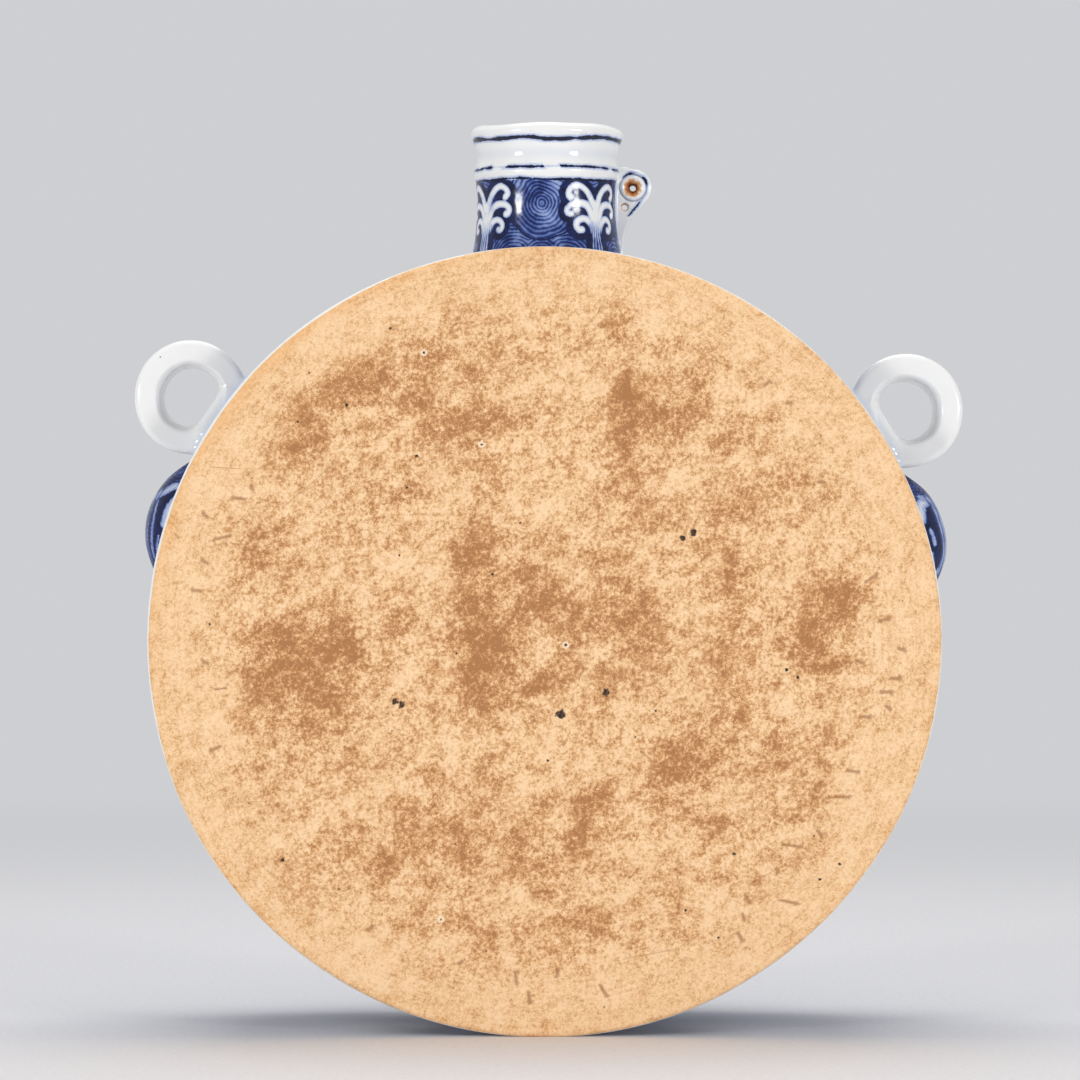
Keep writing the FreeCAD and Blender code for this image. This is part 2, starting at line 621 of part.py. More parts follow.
def make_side_lug(doc, side):
    """Rounded lug on the wall, with a cord hole that runs along the rim."""
    angle = f"derived.{side}_lug_angle"
    across = "-derived.lug_axis" if side == "left" else "derived.lug_axis"
    spot = place(f"{across} * cos({angle})", "0", f"derived.centre_height + derived.lug_axis * sin({angle})",
                 side_turn(side, angle))
    body = new_body(doc, f"{side}_side_lug", spot)
    revolve(body, "XZ_Plane", [
        ("0", "-derived.lug_half"),
        ("derived.lug_bend_x", "-derived.lug_bend_z", "dims.lug_end_radius", "left"),
        ("derived.lug_bend_x", "derived.lug_bend_z", "dims.lug_curve_radius", "left"),
        ("0", "derived.lug_half", "dims.lug_end_radius", "left"),
    ])

    wall = new_sketch(body, "XZ_Plane", "WallSeatOutline")
    add_circle(wall, "-derived.lug_axis", "0", "dims.back_radius")
    pocket(body, wall, "WallSeat")

    hole = new_sketch(body, "XY_Plane", "CordHoleOutline")
    add_circle(hole, "derived.lug_hole_reach", "0", "dims.lug_hole_radius")
    pocket(body, hole, "CordHole")
    return body


def check(doc, bodies):
    """Stop before writing if anything in the document failed."""
    for item in doc.Objects:
        if any(word in item.State for word in ("Invalid", "Error")):
            raise RuntimeError(f"{item.Name} failed: {item.State}")
    for body in bodies:
        shape = body.Shape
        if shape.isNull() or not shape.isValid() or len(shape.Solids) != 1:
            raise RuntimeError(f"{body.Label} is not one valid solid")


def main():
    doc = FreeCAD.newDocument("pilgrim_flask")
    add_sheet(doc)
    add_derived(doc)
    bodies = [
        make_back_plate(doc),
        make_side_wall(doc),
        make_front_dome(doc),
        make_front_boss(doc),
        make_back_seam_coil(doc),
        make_dome_seam_coil(doc),
        make_neck(doc),
        make_mouth_collar(doc),
        make_neck_loop_strap(doc),
        make_neck_loop_eyelet(doc),
    ]
    for side in ("left", "right"):
        bodies.append(make_ring_loop(doc, side))
        bodies.append(make_ring_pad(doc, side))
        bodies.append(make_side_lug(doc, side))
    doc.recompute()
    check(doc, bodies)
    os.makedirs("parts", exist_ok=True)
    for body in bodies:
        body.Shape.exportStep(f"parts/{body.Label}.step")
        box = body.Shape.optimalBoundingBox()
        print(f"{body.Label}: {body.Shape.Volume:.0f} mm3, x {box.XMin:.1f} to {box.XMax:.1f}, "
              f"y {box.YMin:.1f} to {box.YMax:.1f}, z {box.ZMin:.1f} to {box.ZMax:.1f}")


main()
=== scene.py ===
import functools
import itertools
import json
import math

import bmesh
import bpy
import numpy as np
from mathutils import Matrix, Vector


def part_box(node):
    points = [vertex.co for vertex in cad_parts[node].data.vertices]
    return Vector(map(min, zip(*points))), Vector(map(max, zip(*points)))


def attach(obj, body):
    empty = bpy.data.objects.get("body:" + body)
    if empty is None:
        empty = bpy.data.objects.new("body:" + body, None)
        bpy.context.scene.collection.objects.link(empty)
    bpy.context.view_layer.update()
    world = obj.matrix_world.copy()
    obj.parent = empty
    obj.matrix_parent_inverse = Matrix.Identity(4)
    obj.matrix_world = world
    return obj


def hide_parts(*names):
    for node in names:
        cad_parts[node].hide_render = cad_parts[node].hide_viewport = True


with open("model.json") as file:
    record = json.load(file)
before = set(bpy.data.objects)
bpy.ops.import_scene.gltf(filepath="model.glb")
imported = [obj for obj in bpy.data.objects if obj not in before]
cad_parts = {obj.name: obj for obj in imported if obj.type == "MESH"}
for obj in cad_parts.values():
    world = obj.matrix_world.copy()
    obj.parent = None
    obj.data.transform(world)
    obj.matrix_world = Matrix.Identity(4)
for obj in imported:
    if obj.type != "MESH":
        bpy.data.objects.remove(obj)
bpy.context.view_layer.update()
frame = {"nodes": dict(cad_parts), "record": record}

# A porcelain pilgrim flask on its rim, seen from its flat unglazed back.
# Sizes are millimetres in the flask's own frame: +Z up, the back faces -Y, the neck loop is on +X.
# Meshes are made in metres.
MM = 0.001
TURN = 2 * math.pi
# Distance that counts as nowhere near a painted line or stroke
FAR = 20.0


def node_box(node):
    """Lowest and highest corner of a CAD node, in millimetres."""
    low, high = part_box(node)
    return np.array(low) / MM, np.array(high) / MM


def mount(name):
    """Place in millimetres, direction and dimensions of one of the part's mounts."""
    entry = next(item for item in frame["record"]["mounts"] if item["name"] == name)
    return np.array(entry["pos_m"]) / MM, np.array(entry["axis"]), entry["dims"]


# Sizes read from the frame
back_low, back_high = node_box("back_plate")
wall_low, wall_high = node_box("side_wall")
dome_low, dome_high = node_box("front_dome")
_, boss_high = node_box("front_boss")
neck_low, neck_high = node_box("neck")
collar_low, collar_high = node_box("mouth_collar")
strap_low, strap_high = node_box("neck_loop_strap")
_, eyelet_high = node_box("neck_loop_eyelet")
mouth_place, _, mouth_size = mount("mouth_bore")
eyelet_place, _, eyelet_size = mount("neck_eyelet")

DISC_RADIUS = wall_high[0]
DISC_Z = wall_high[2] - DISC_RADIUS
BACK_Y = back_low[1]
SLAB_INSIDE_Y = back_high[1]
WALL_BACK_Y = wall_low[1]
WALL_FRONT_Y = dome_low[1]
DOME_TOP_Y = dome_high[1]
BOSS_RADIUS = boss_high[0]
BOSS_TOP_Y = boss_high[1]
NECK_X = mouth_place[0]
BORE_RADIUS = mouth_size["r_mm"]
NECK_ROOT_RADIUS = neck_high[1]
NECK_FOOT_Z = neck_low[2]
JOINT_Z = collar_low[2]
MOUTH_Z = collar_high[2]
EYELET_REACH = eyelet_place[0] - NECK_X
EYELET_Z = eyelet_place[2]
EYELET_RADIUS = eyelet_high[0] - eyelet_place[0]
EYELET_HALF = eyelet_high[1]
EYELET_BORE = eyelet_size["r_mm"]
STRAP_TOP = strap_high[2]
STRAP_RADIUS = STRAP_TOP - EYELET_Z
STRAP_HALF = strap_high[1]

# Sizes of the forms between those levels
SHELL = 9.0
SLAB_EDGE_ROUND = 3.0
SPIGOT_RADIUS = 190.85
DOME_SKIRT = 14.0
SHOULDER_ROUND = 45.0
DOME_ROUND = 500.0
SEAT_RADIUS = 58.0
BOSS_OPENING = 44.0
BOSS_WALL = 8.0
BOSS_EDGE_ROUND = 5.0
BOSS_CROWN = 3.0
NECK_ROOT_TOP = 401.2
RIDGE_FOOT_Z = 434.0
NECK_TOP_RADIUS = 36.3
NECK_HOLLOW = 0.9
JOINT_RADIUS = 36.9
LIP_FOOT_RADIUS = 38.3
LIP_FOOT_Z = 455.5
MOUTH_ROUND = 7.0
STRAP_SLOPE = math.radians(40)
TAIL_OUTSIDE = 39.9
STRAP_GAP = (39.9, 421.2, 1.7)
RING_HOLE = 15.0
RING_EDGE_ROUND = 3.5
PAD_DROP = 10.1
PAD_HALF = 10.94
LUG_AXIS_DEPTH = 10.0
LUG_HEIGHT = 13.7
LUG_CURVE = 42.0
LUG_END = 16.0
LUG_HOLE_REACH = 14.8
LUG_HOLE = 4.0
SHARP_CORNER = math.radians(48)

# Outline of the dome: a wide arc for its crown, a narrow one for its shoulder
SHOULDER_Y = WALL_FRONT_Y + DOME_SKIRT
SHOULDER_REACH = DISC_RADIUS - SHOULDER_ROUND
ARC_GAP = DOME_ROUND - SHOULDER_ROUND
DOME_CENTRE_Y = SHOULDER_Y - math.sqrt(ARC_GAP ** 2 - SHOULDER_REACH ** 2)
DOME_TILT = math.asin(SHOULDER_REACH / ARC_GAP)

# Outline of a lug: a long arc with a narrower one at each end
LUG_SINK = LUG_CURVE - (LUG_AXIS_DEPTH + LUG_HEIGHT)
LUG_END_PLACE = math.sqrt((LUG_CURVE - LUG_END) ** 2 - LUG_SINK ** 2)

# Short helpers for shapes and painting


def smooth(low, high, value):
    """Rise from 0 at low to 1 at high."""
    t = np.clip((value - low) / (high - low), 0, 1)
    return t * t * (3 - 2 * t)


def hump(value, centre, half):
    """1 at the centre, falling to 0 at half a width on each side."""
    return 1 - smooth(0, half, np.abs(value - centre))


def sway(points, size, seed):
    """Smooth wandering between about -1 and 1, in waves about as long as size."""
    rng = np.random.default_rng(seed)
    total = np.zeros(len(points))
    for _ in range(7):
        direction = rng.normal(size=points.shape[1])
        direction *= TURN * rng.uniform(0.6, 1.5) / (size * np.linalg.norm(direction))
        total += np.sin(points @ direction + rng.uniform(0, TURN))
    return total / 3.2


def smooth_min(a, b, reach):
    """The lesser of two fields, with a fillet about as wide as reach."""
    h = np.maximum(reach - np.abs(a - b), 0) / reach
    return np.minimum(a, b) - h * h * reach / 4


def rounded_meet(a, b, radius):
    """Where two fields are both inside, with the edge between them rounded."""
    a, b = a + radius, b + radius
    outside = np.hypot(np.maximum(a, 0), np.maximum(b, 0))
    return np.minimum(np.maximum(a, b), 0) + outside - radius


def rim_wobble(angle):
    """How far the hand-made rim leaves a true circle, at an angle from +X towards +Z."""
    return (0.5 * np.cos(2 * angle) + 0.22 * np.sin(3 * angle + 0.8)
            + 0.16 * np.sin(5 * angle + 2.1) + 0.08 * np.sin(9 * angle))


def angle_from(angle, degrees):
    """Angle in degrees from a direction, between -180 and 180."""
    return (np.degrees(angle) - degrees + 180) % 360 - 180


def disc_polar(points):
    """Angle from +X towards +Z, and radius, of points about the disc's axis."""
    x, z = points[:, 0], points[:, 2] - DISC_Z
    return np.arctan2(z, x), np.hypot(x, z)


class Outline:
    """A profile of (radius, level) rows, drawn leg by leg. A leg holds its start but not its end."""

    def __init__(self, *start):
        self.rows, self.end = [], np.array(start, float)

    def leg(self, rows, end):
        self.rows.append(rows)
        return self.skip(*end)

    def skip(self, radius, level):
        """Go on from another point."""
        self.end = np.array([radius, level], float)
        return self

    def to(self, radius, level, steps, bow=0.0):
        """A leg to a point; bow is how far its middle swells to the left."""
        along = np.array([radius, level]) - self.end
        t = np.arange(steps)[:, None] / steps
        left = np.array([-along[1], along[0]]) / np.hypot(*along)
        return self.leg(self.end + t * along + 4 * bow * t * (1 - t) * left, (radius, level))

    def round(self, centre, radius, first, last, steps):
        """An arc about a centre, from one angle to another in degrees."""
        angle = np.radians(first + (last - first) * np.arange(steps + 1) / steps)
        rows = np.array(centre) + radius * np.stack([np.cos(angle), np.sin(angle)], 1)
        return self.leg(rows[:-1], rows[-1])


def lathe(outline, count, closed):
    """Turn an outline: returns each point's radius, level and angle, and the faces.
    A closed outline joins its last row to its first; an open one has a pole at each end."""
    radius, level = np.concatenate(outline.rows).T
    rows = len(radius)
    angle = np.arange(count) * TURN / count
    index = np.arange(rows * count).reshape(rows, count)
    after = np.roll(index, -1, 1)
    pairs = [(i, i + 1) for i in range(rows - 1)] + [(rows - 1, 0)] * closed
    quads = [np.stack([index[i], after[i], after[j], index[j]], 1) for i, j in pairs]
    faces = np.concatenate(quads).tolist()
    grid = [np.repeat(radius, count), np.repeat(level, count), np.tile(angle, rows)]
    if not closed:
        first, last = rows * count, rows * count + 1
        faces += [[first, b, a] for a, b in zip(index[0].tolist(), after[0].tolist())]
        faces += [[last, a, b] for a, b in zip(index[-1].tolist(), after[-1].tolist())]
        poles = [(0, 0), (level[0], level[-1]), (0, 0)]
        grid = [np.append(values, pole) for values, pole in zip(grid, poles)]
    return *grid, faces


def surface_net(field, low, high, step):
    """Mesh of the zero surface of a field of points in a box: its points and faces."""
    axes = [np.arange(a, b + step, step) for a, b in zip(low, high)]
    grid = np.stack(np.meshgrid(*axes, indexing="ij"), -1)
    size = np.array(grid.shape[:3])
    value = field(grid.reshape(-1, 3)).reshape(size)
    value[value == 0] = 1e-9
    corners = np.array(list(itertools.product((0, 1), repeat=3)))
    inside = sum((value[tuple(slice(c, n - 1 + c) for c, n in zip(corner, size))] < 0).astype(int)
                 for corner in corners)
    cells = np.argwhere((inside > 0) & (inside < 8))
    number = np.full(size - 1, -1)
    number[tuple(cells.T)] = np.arange(len(cells))

    total = np.zeros((len(cells), 3))
    crossings = np.zeros((len(cells), 1))
    for a, b in itertools.combinations(corners, 2):
        if np.abs(a - b).sum() == 1:
            at_a, at_b = value[tuple((cells + a).T)], value[tuple((cells + b).T)]
            cut = (at_a < 0) != (at_b < 0)
            share = np.where(cut, at_a / (at_a - at_b + (at_a == at_b)), 0)[:, None]
            total += cut[:, None] * (a + share * (b - a))
            crossings += cut[:, None]
    points = np.array(low) + (cells + total / crossings) * step
    points = pull_to_surface(field, points, step)

    faces = []
    for axis in range(3):
        u, v = (axis + 1) % 3, (axis + 2) % 3
        near = np.take(value, range(size[axis] - 1), axis) < 0
        far = np.take(value, range(1, size[axis]), axis) < 0
        edges = np.argwhere(near != far)
        edges = edges[(edges[:, u] > 0) & (edges[:, v] > 0)]
        edges = edges[(edges[:, u] < size[u] - 1) & (edges[:, v] < size[v] - 1)]
        around = []
        for back_u, back_v in ((1, 1), (0, 1), (0, 0), (1, 0)):
            cell = edges.copy()
            cell[:, u] -= back_u
            cell[:, v] -= back_v
            around.append(number[tuple(cell.T)])
        quads = np.stack(around, 1)
        flip = ~near[tuple(edges.T)]
        quads[flip] = quads[flip][:, ::-1]
        faces += quads.tolist()
    return points, faces


def pull_to_surface(field, points, step):
    """Move points along the field's slope onto its zero surface, by less than a step."""
    start, nudge, most = points, step * 0.05, step * 0.6
    for _ in range(3):
        slope = np.stack([field(points + side) - field(points - side) for side in np.eye(3) * nudge], 1)
        slope /= 2 * nudge
        move = field(points)[:, None] * slope / np.maximum((slope ** 2).sum(1, keepdims=True), 0.2)
        points = start + np.clip(points - move - start, -most, most)
    return points


def shade(mesh):
    """Shade a mesh smooth, apart from its sharp corners."""
    mesh.shade_smooth()
    mesh.set_sharp_from_angle(angle=SHARP_CORNER)


def new_mesh(name, points, faces):
    """Smooth-shaded mesh, in metres, with its faces turned outwards."""
    mesh = bpy.data.meshes.new(name)
    mesh.from_pydata((np.asarray(points) * MM).tolist(), [], faces)
    edit = bmesh.new()
    edit.from_mesh(mesh)
    bmesh.ops.recalc_face_normals(edit, faces=edit.faces)
    edit.to_mesh(mesh)
    edit.free()
    shade(mesh)
    return mesh


def new_object(name, data):
    """An object in the scene."""
    item = bpy.data.objects.new(name, data)
    bpy.context.scene.collection.objects.link(item)
    return item


def cut_mesh(name, mesh, cutter_mesh):
    """A mesh with another one cut out of it."""
    body, cutter = new_object("cut_body", mesh), new_object("cutter", cutter_mesh)
    modifier = body.modifiers.new("hole", "BOOLEAN")
    modifier.operation = "DIFFERENCE"
    modifier.solver = "EXACT"
    modifier.object = cutter
    bpy.context.view_layer.update()
    result = bpy.data.meshes.new_from_object(body.evaluated_get(bpy.context.evaluated_depsgraph_get()))
    for item in (body, cutter):
        bpy.data.objects.remove(item)
    result.name = name
    shade(result)
    return result


def mesh_points(mesh):
    """Points of a mesh, in millimetres."""
    flat = np.zeros(len(mesh.vertices) * 3)
    mesh.vertices.foreach_get("co", flat)
    return flat.reshape(-1, 3) / MM


def add_piece(mesh, finish, nodes, layers):
    """""Make a piece of the flask from its mesh. The finish is its material and a slot name that is not used,
    the nodes are those it stands for, and the layers hold its painting, point by point or as one number."" """
    material, slot = finish
    for layer, values in layers.items():
        attribute = mesh.attributes.new(layer, "FLOAT", "POINT")
        values = np.zeros(len(mesh.vertices), np.float32) + np.asarray(values, np.float32)
        attribute.data.foreach_set("value", values)
    mesh.materials.append(material)
    piece = new_object(mesh.name, mesh)
    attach(piece, "root")
    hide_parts(*nodes)


def rim_points(radius, level, angle):
    """Points of a form turned about the disc's axis, with the rim's wobble and standing flat."""
    share = np.clip(radius / DISC_RADIUS, 0, 1) ** 6
    radius = radius + share * rim_wobble(angle)
    height = np.maximum(DISC_Z + radius * np.sin(angle), 0)
    return np.stack([radius * np.cos(angle), level, height], 1)


def neck_points(radius, level, angle):
    """Points of a form turned about the neck's axis. The angle is 0 at the back, 90 degrees at +X."""
    return np.stack([NECK_X + radius * np.sin(angle), -radius * np.cos(angle), level], 1)


def wall_distance(points):
    """Distance outside the flask's round wall."""
    angle, radius = disc_polar(points)
    return radius - DISC_RADIUS - rim_wobble(angle)


def neck_radius(z):
    """Outer radius of the neck at a height, between its root and its ridge."""
    t = np.clip((z - NECK_ROOT_TOP) / (RIDGE_FOOT_Z - NECK_ROOT_TOP), 0, 1)
    return NECK_ROOT_RADIUS + (NECK_TOP_RADIUS - NECK_ROOT_RADIUS) * t - NECK_HOLLOW * 4 * t * (1 - t)


# Materials


def srgb(red, green, blue):
    """Linear colour of an 8-bit display colour."""
    values = np.array([red, green, blue]) / 255
    linear = np.where(values <= 0.04045, values / 12.92, ((values + 0.055) / 1.055) ** 2.4)
    return (*linear.tolist(), 1.0)


class Field:
    """A value that a material's nodes work out at every place, open to plain arithmetic."""

    def __init__(self, nodes, socket):
        self.nodes, self.socket = nodes, socket

    def __add__(self, other):
        return self.nodes.math("ADD", self, other)

    def __sub__(self, other):
        return self.nodes.math("SUBTRACT", self, other)

    def __rsub__(self, other):
        return self.nodes.math("SUBTRACT", other, self)

    def __mul__(self, other):
        return self.nodes.math("MULTIPLY", self, other)

    __radd__, __rmul__ = __add__, __mul__

    def most(self, other):
        """The greater of two fields."""
        return self.nodes.math("MAXIMUM", self, other)

    def below(self, limit):
        """1 where the field is less than a limit, and 0 elsewhere."""
        return self.nodes.math("LESS_THAN", self, limit)

    def step(self, low, high, to_low=0.0, to_high=1.0):
        """Smooth change from one value, where the field is low, to another, where it is high."""
        inputs = {"Value": self, "From Min": low, "From Max": high, "To Min": to_low, "To Max": to_high}
        node = self.nodes.add("ShaderNodeMapRange", inputs, interpolation_type="SMOOTHSTEP")
        return Field(self.nodes, node.outputs["Result"])

    def fade(self, low, high, from_low=1.0):
        """Smooth fall to 0 at high from a value at low."""
        return self.step(low, high, from_low, 0.0)


class Nodes:
    """The nodes of a material, or of the world, under construction."""

    def __init__(self, owner, output="ShaderNodeOutputMaterial"):
        owner.use_nodes = True
        self.owner, self.tree = owner, owner.node_tree
        self.tree.nodes.clear()
        self.output = self.add(output).inputs["Surface"]

    def add(self, kind, inputs=None, **settings):
        """A new node, with its inputs given by name or number."""
        node = self.tree.nodes.new(kind)
        for key, value in settings.items():
            setattr(node, key, value)
        for key, value in (inputs or {}).items():
            self.feed(node.inputs[key], value)
        return node

    def feed(self, socket, value):
        """Link a field or another node to an input, or set the input to a constant."""
        if isinstance(value, Field):
            value = value.socket
        if isinstance(value, bpy.types.NodeSocket):
            self.tree.links.new(value, socket)
        else:
            socket.default_value = value

    @functools.cached_property
    def place(self):
        """Place in the flask's frame, in millimetres."""
        return self.vector("SCALE", self.add("ShaderNodeTexCoord").outputs["Object"], scale=1 / MM)

    def math(self, operation, *values, clamp=False):
        node = self.add("ShaderNodeMath", dict(enumerate(values)), operation=operation, use_clamp=clamp)
        return Field(self, node.outputs[0])

    def length(self, a, b):
        """Length of the long side of a right triangle with these sides."""
        return self.math("SQRT", a * a + b * b)

    def vector(self, operation, *values, scale=None):
        node = self.add("ShaderNodeVectorMath", dict(enumerate(values)), operation=operation)
        if scale is not None:
            self.feed(node.inputs["Scale"], scale)
        number = operation in ("LENGTH", "DISTANCE", "DOT_PRODUCT")
        return Field(self, node.outputs["Value" if number else "Vector"])

    def noise(self, size, detail=2.0, rough=0.5, place=None):
        """Noise around 0, between -0.5 and 0.5, with lumps of about this size in millimetres."""
        inputs = {"Vector": place or self.place, "Scale": 1 / size, "Detail": detail, "Roughness": rough}
        return Field(self, self.add("ShaderNodeTexNoise", inputs).outputs["Fac"]) - 0.5

    def split(self, colour):
        """The three channels of a colour."""
        return [Field(self, channel) for channel in self.add("ShaderNodeSeparateColor", {0: colour}).outputs]

    def dots(self, spacing, share, radius):
        """Random dots: 1 inside a dot. Only a share of the cells of this spacing has one."""
        node = self.add("ShaderNodeTexVoronoi", {"Vector": self.place, "Scale": 1 / spacing})
        chance, size, _ = self.split(node.outputs["Color"])
        reach = (0.7 * size + 0.5) * (radius / spacing)
        return Field(self, node.outputs["Distance"]).below(reach) * chance.below(share)

    def layer(self, name):
        """Value of one of the mesh's painted layers."""
        return Field(self, self.add("ShaderNodeAttribute", attribute_name=name).outputs["Fac"])

    def mix(self, factor, a, b, blend="MIX"):
        """Colour between two others."""
        node = self.add("ShaderNodeMix", data_type="RGBA", blend_type=blend)
        for number, value in ((0, factor), (6, a), (7, b)):
            self.feed(node.inputs[number], value)
        return Field(self, node.outputs[2])

    def ramp(self, value, stops):
        """Colour along a row of stops."""
        node = self.add("ShaderNodeValToRGB", {0: value})
        elements = node.color_ramp.elements
        while len(elements) < len(stops):
            elements.new(0.5)
        for element, (place, colour) in zip(elements, stops):
            element.position = place
            element.color = colour
        return Field(self, node.outputs[0])

    def seen(self):
        """1 for what the camera sees, straight or by way of a reflection or a clear body."""
        rays = self.add("ShaderNodeLightPath").outputs
        shiny = Field(self, rays["Is Glossy Ray"]).most(Field(self, rays["Is Transmission Ray"]))
        return shiny.most(Field(self, rays["Is Camera Ray"]))

    def finish(self, colour, roughness, height, depth, specular=0.5):
        """Principled surface; depth is the bump's height in millimetres."""
        bump = self.add("ShaderNodeBump", {"Distance": depth * MM, "Height": height})
        surface = self.add("ShaderNodeBsdfPrincipled", {
            "Base Color": colour, "Roughness": roughness, "Specular IOR Level": specular,
            "Normal": bump.outputs[0]})
        self.feed(self.output, surface.outputs[0])
        return self.owner


PORCELAIN = srgb(243, 243, 241)
# Pooled glaze, also used as painted shade in hollows and where parts meet
POOLED_GLAZE_AND_SHADE = srgb(208, 216, 228)
WARM_GLAZE = srgb(244, 241, 234)
GLAZE_SPECK = srgb(70, 56, 48)
COBALT = [
    (0.00, PORCELAIN),
    (0.15, srgb(204, 213, 229)),
    (0.35, srgb(138, 156, 202)),
    (0.58, srgb(60, 84, 150)),
    (0.76, srgb(28, 44, 102)),
    (1.00, srgb(5, 9, 36)),
]
# Rust colours; the darkest end also paints shade deep in the eyelet's bore
RUST_AND_SHADE = [
    (0.20, PORCELAIN),
    (0.45, srgb(232, 186, 130)),
    (0.70, srgb(190, 112, 66)),
    (1.00, srgb(84, 40, 22)),
]
GLAZE_ROUGHNESS = 0.13
GLAZE_BUMP = 0.22
LOW_SHINE = 0.3


def glaze_height(nodes):
    """Height of the glaze's soft unevenness."""
    return nodes.noise(9, 1) + 0.12 * nodes.noise(2.2, 1)


def brushed_line(nodes, fine):
    """Density of painted lines, whose edges bleed into the glaze."""
    line = nodes.layer("line") + 1.1 * fine
    return line.fade(-0.3, 0.3).most(line.fade(0.0, 1.5, 0.24))


def white_glaze():
    """""Clear glaze on white porcelain, with painted lines, pooled glaze with painted shade in hollows and
    joints, a rusty stain and painted shade deep in the eyelet's bore.""
    """
    nodes = Nodes(bpy.data.materials.new("white_glaze"))
    fine, broad = nodes.noise(1.1), nodes.noise(24)
    # Pooled glaze and painted shade: greyer blue in hollows and where parts meet
    pooled_and_shaded = nodes.layer("pool") + 0.5 * broad
    colour = nodes.mix(pooled_and_shaded.step(0.1, 1.0), PORCELAIN, POOLED_GLAZE_AND_SHADE)
    colour = nodes.mix(broad.step(0.0, 0.3, 0.0, 0.35), colour, WARM_GLAZE)
    ink = nodes.ramp(brushed_line(nodes, fine) + 0.12 * broad, COBALT)
    has_line = nodes.layer("line").fade(2.6, 3.4)
    colour = nodes.mix(has_line, colour, nodes.mix(1.0, ink, colour, "DARKEN"))
    # Rust stain, and painted shade deep in the eyelet's bore
    stain = nodes.layer("stain") + 0.9 * nodes.noise(1.6, 3)
    colour = nodes.mix(stain.step(0.15, 0.3), colour, nodes.ramp(stain, RUST_AND_SHADE))
    colour = nodes.mix(nodes.dots(7.0, 0.06, 0.5), colour, GLAZE_SPECK)
    roughness = stain.step(0.3, 0.6, GLAZE_ROUGHNESS, 0.5) + 0.1 * nodes.noise(14, 3)
    return nodes.finish(colour, roughness, glaze_height(nodes), GLAZE_BUMP)


def blue_and_white(name, spacing):
    """Cobalt waves and white sprays under glaze; spacing is the distance between wave lines."""
    nodes = Nodes(bpy.data.materials.new(name))
    fine, middle, broad = nodes.noise(1.0), nodes.noise(3 * spacing), nodes.noise(26)
    brush = nodes.noise(4.5 * spacing, 3, 0.6)
    phase = nodes.layer("wave") * (1 / spacing) + 0.9 * middle
    swing = nodes.math("COSINE", phase * TURN) + 1.1 * fine + 3.2 * brush
    waves = 0.27 * swing.step(-0.8, 1.0) + 0.5 + 0.35 * broad + 0.75 * brush
    navy = 0.9 + 0.35 * middle
    navy_share = (nodes.layer("navy") + 0.5 * fine).step(0.25, 0.75)
    ground = waves + navy_share * (navy - waves)

    spray = nodes.layer("spray")
    bristle = nodes.layer("streak") * (1 / spacing) + 0.8 * middle
    streaks = 0.25 * nodes.math("COSINE", bristle * TURN) + 0.4 + 0.5 * brush
    white = streaks * nodes.layer("foot") + (spray + 0.5 * fine).step(-1.4, 0.0, 0.0, 0.26)
    white = white + brush.step(0.02, 0.22, 0.0, 0.14)
    inside = (spray + 0.6 * fine).fade(-0.22, 0.22)
    density = ground + inside * (white - ground)
    density = density * (nodes.layer("ground") + 0.35 * fine).step(0.2, 0.8)
    density = density.most(brushed_line(nodes, fine))

    heaped = nodes.noise(0.9).step(0.06, 0.18) * density.step(0.55, 0.9, 0.0, 0.22)
    colour = nodes.ramp(density + heaped, COBALT)
    roughness = GLAZE_ROUGHNESS + 0.1 * nodes.noise(14, 3)
    return nodes.finish(colour, roughness, glaze_height(nodes), GLAZE_BUMP, LOW_SHINE)


# Iron spots fired into the back: place on the disc from its middle, and radius
IRON_SPOTS = [
    (-75.2, -30.4, 1.9), (-71.8, -31.6, 2.0), (8.5, -36.5, 2.6), (31.2, -25.4, 2.2), (70.1, 52.2, 1.7),
    (75.4, 54.9, 1.9), (-64.0, 93.5, 1.1), (-99.3, 119.2, 1.1), (-131.5, -110.0, 1.2), (-26.0, 34.0, 0.8),
    (2.0, -60.0, 0.8), (-12.0, 60.0, 0.7), (46.0, -48.0, 0.8), (-44.0, -6.0, 0.7), (-77.6, 157.8, 0.8),
    (-69.0, 77.6, 0.9), (-124.0, 110.8, 0.7), (-168.5, 8.7, 0.7), (-72.8, 43.6, 0.6), (95.7, -107.0, 1.1),
    (71.5, -135.4, 1.0), (139.0, -119.8, 0.8), (149.0, -112.0, 0.9), (56.2, -35.0, 0.6), (122.2, -14.2, 1.1),
    (127.6, -18.0, 0.9), (137.7, -28.3, 0.6), (88.0, -149.0, 0.7), (103.8, -155.0, 0.6), (-90.5, 173.5, 0.6),
]
# Small spots whose glassy drop left a pale ring in the clay
RINGED_SPOTS = [(-31.5, 99.3, 0.8), (-60.5, 145.6, 0.7), (11.0, -1.7, 0.8), (-52.0, -140.0, 0.8)]
SPOT_RING = 2.3
# Fine scratches: both ends, from the middle of the disc
SCRATCHES = [
    (-131.0, 68.0, -103.0, 92.0), (-168.0, 88.0, -152.0, 87.0), (-62.0, 100.0, -45.0, 96.0),
    (104.0, -122.0, 122.0, -112.0), (40.0, -160.0, 66.0, -155.0),
]
# Tool marks near the rim: the ring they lie in, their longest half length and the places for them
TICK_RADIUS = 170.0
TICK_SPREAD = 24.0
TICK_HALF = 3.0
TICK_COUNT = 150
TICK_CELL = TURN * TICK_RADIUS / TICK_COUNT
STREAK_TURN = 14
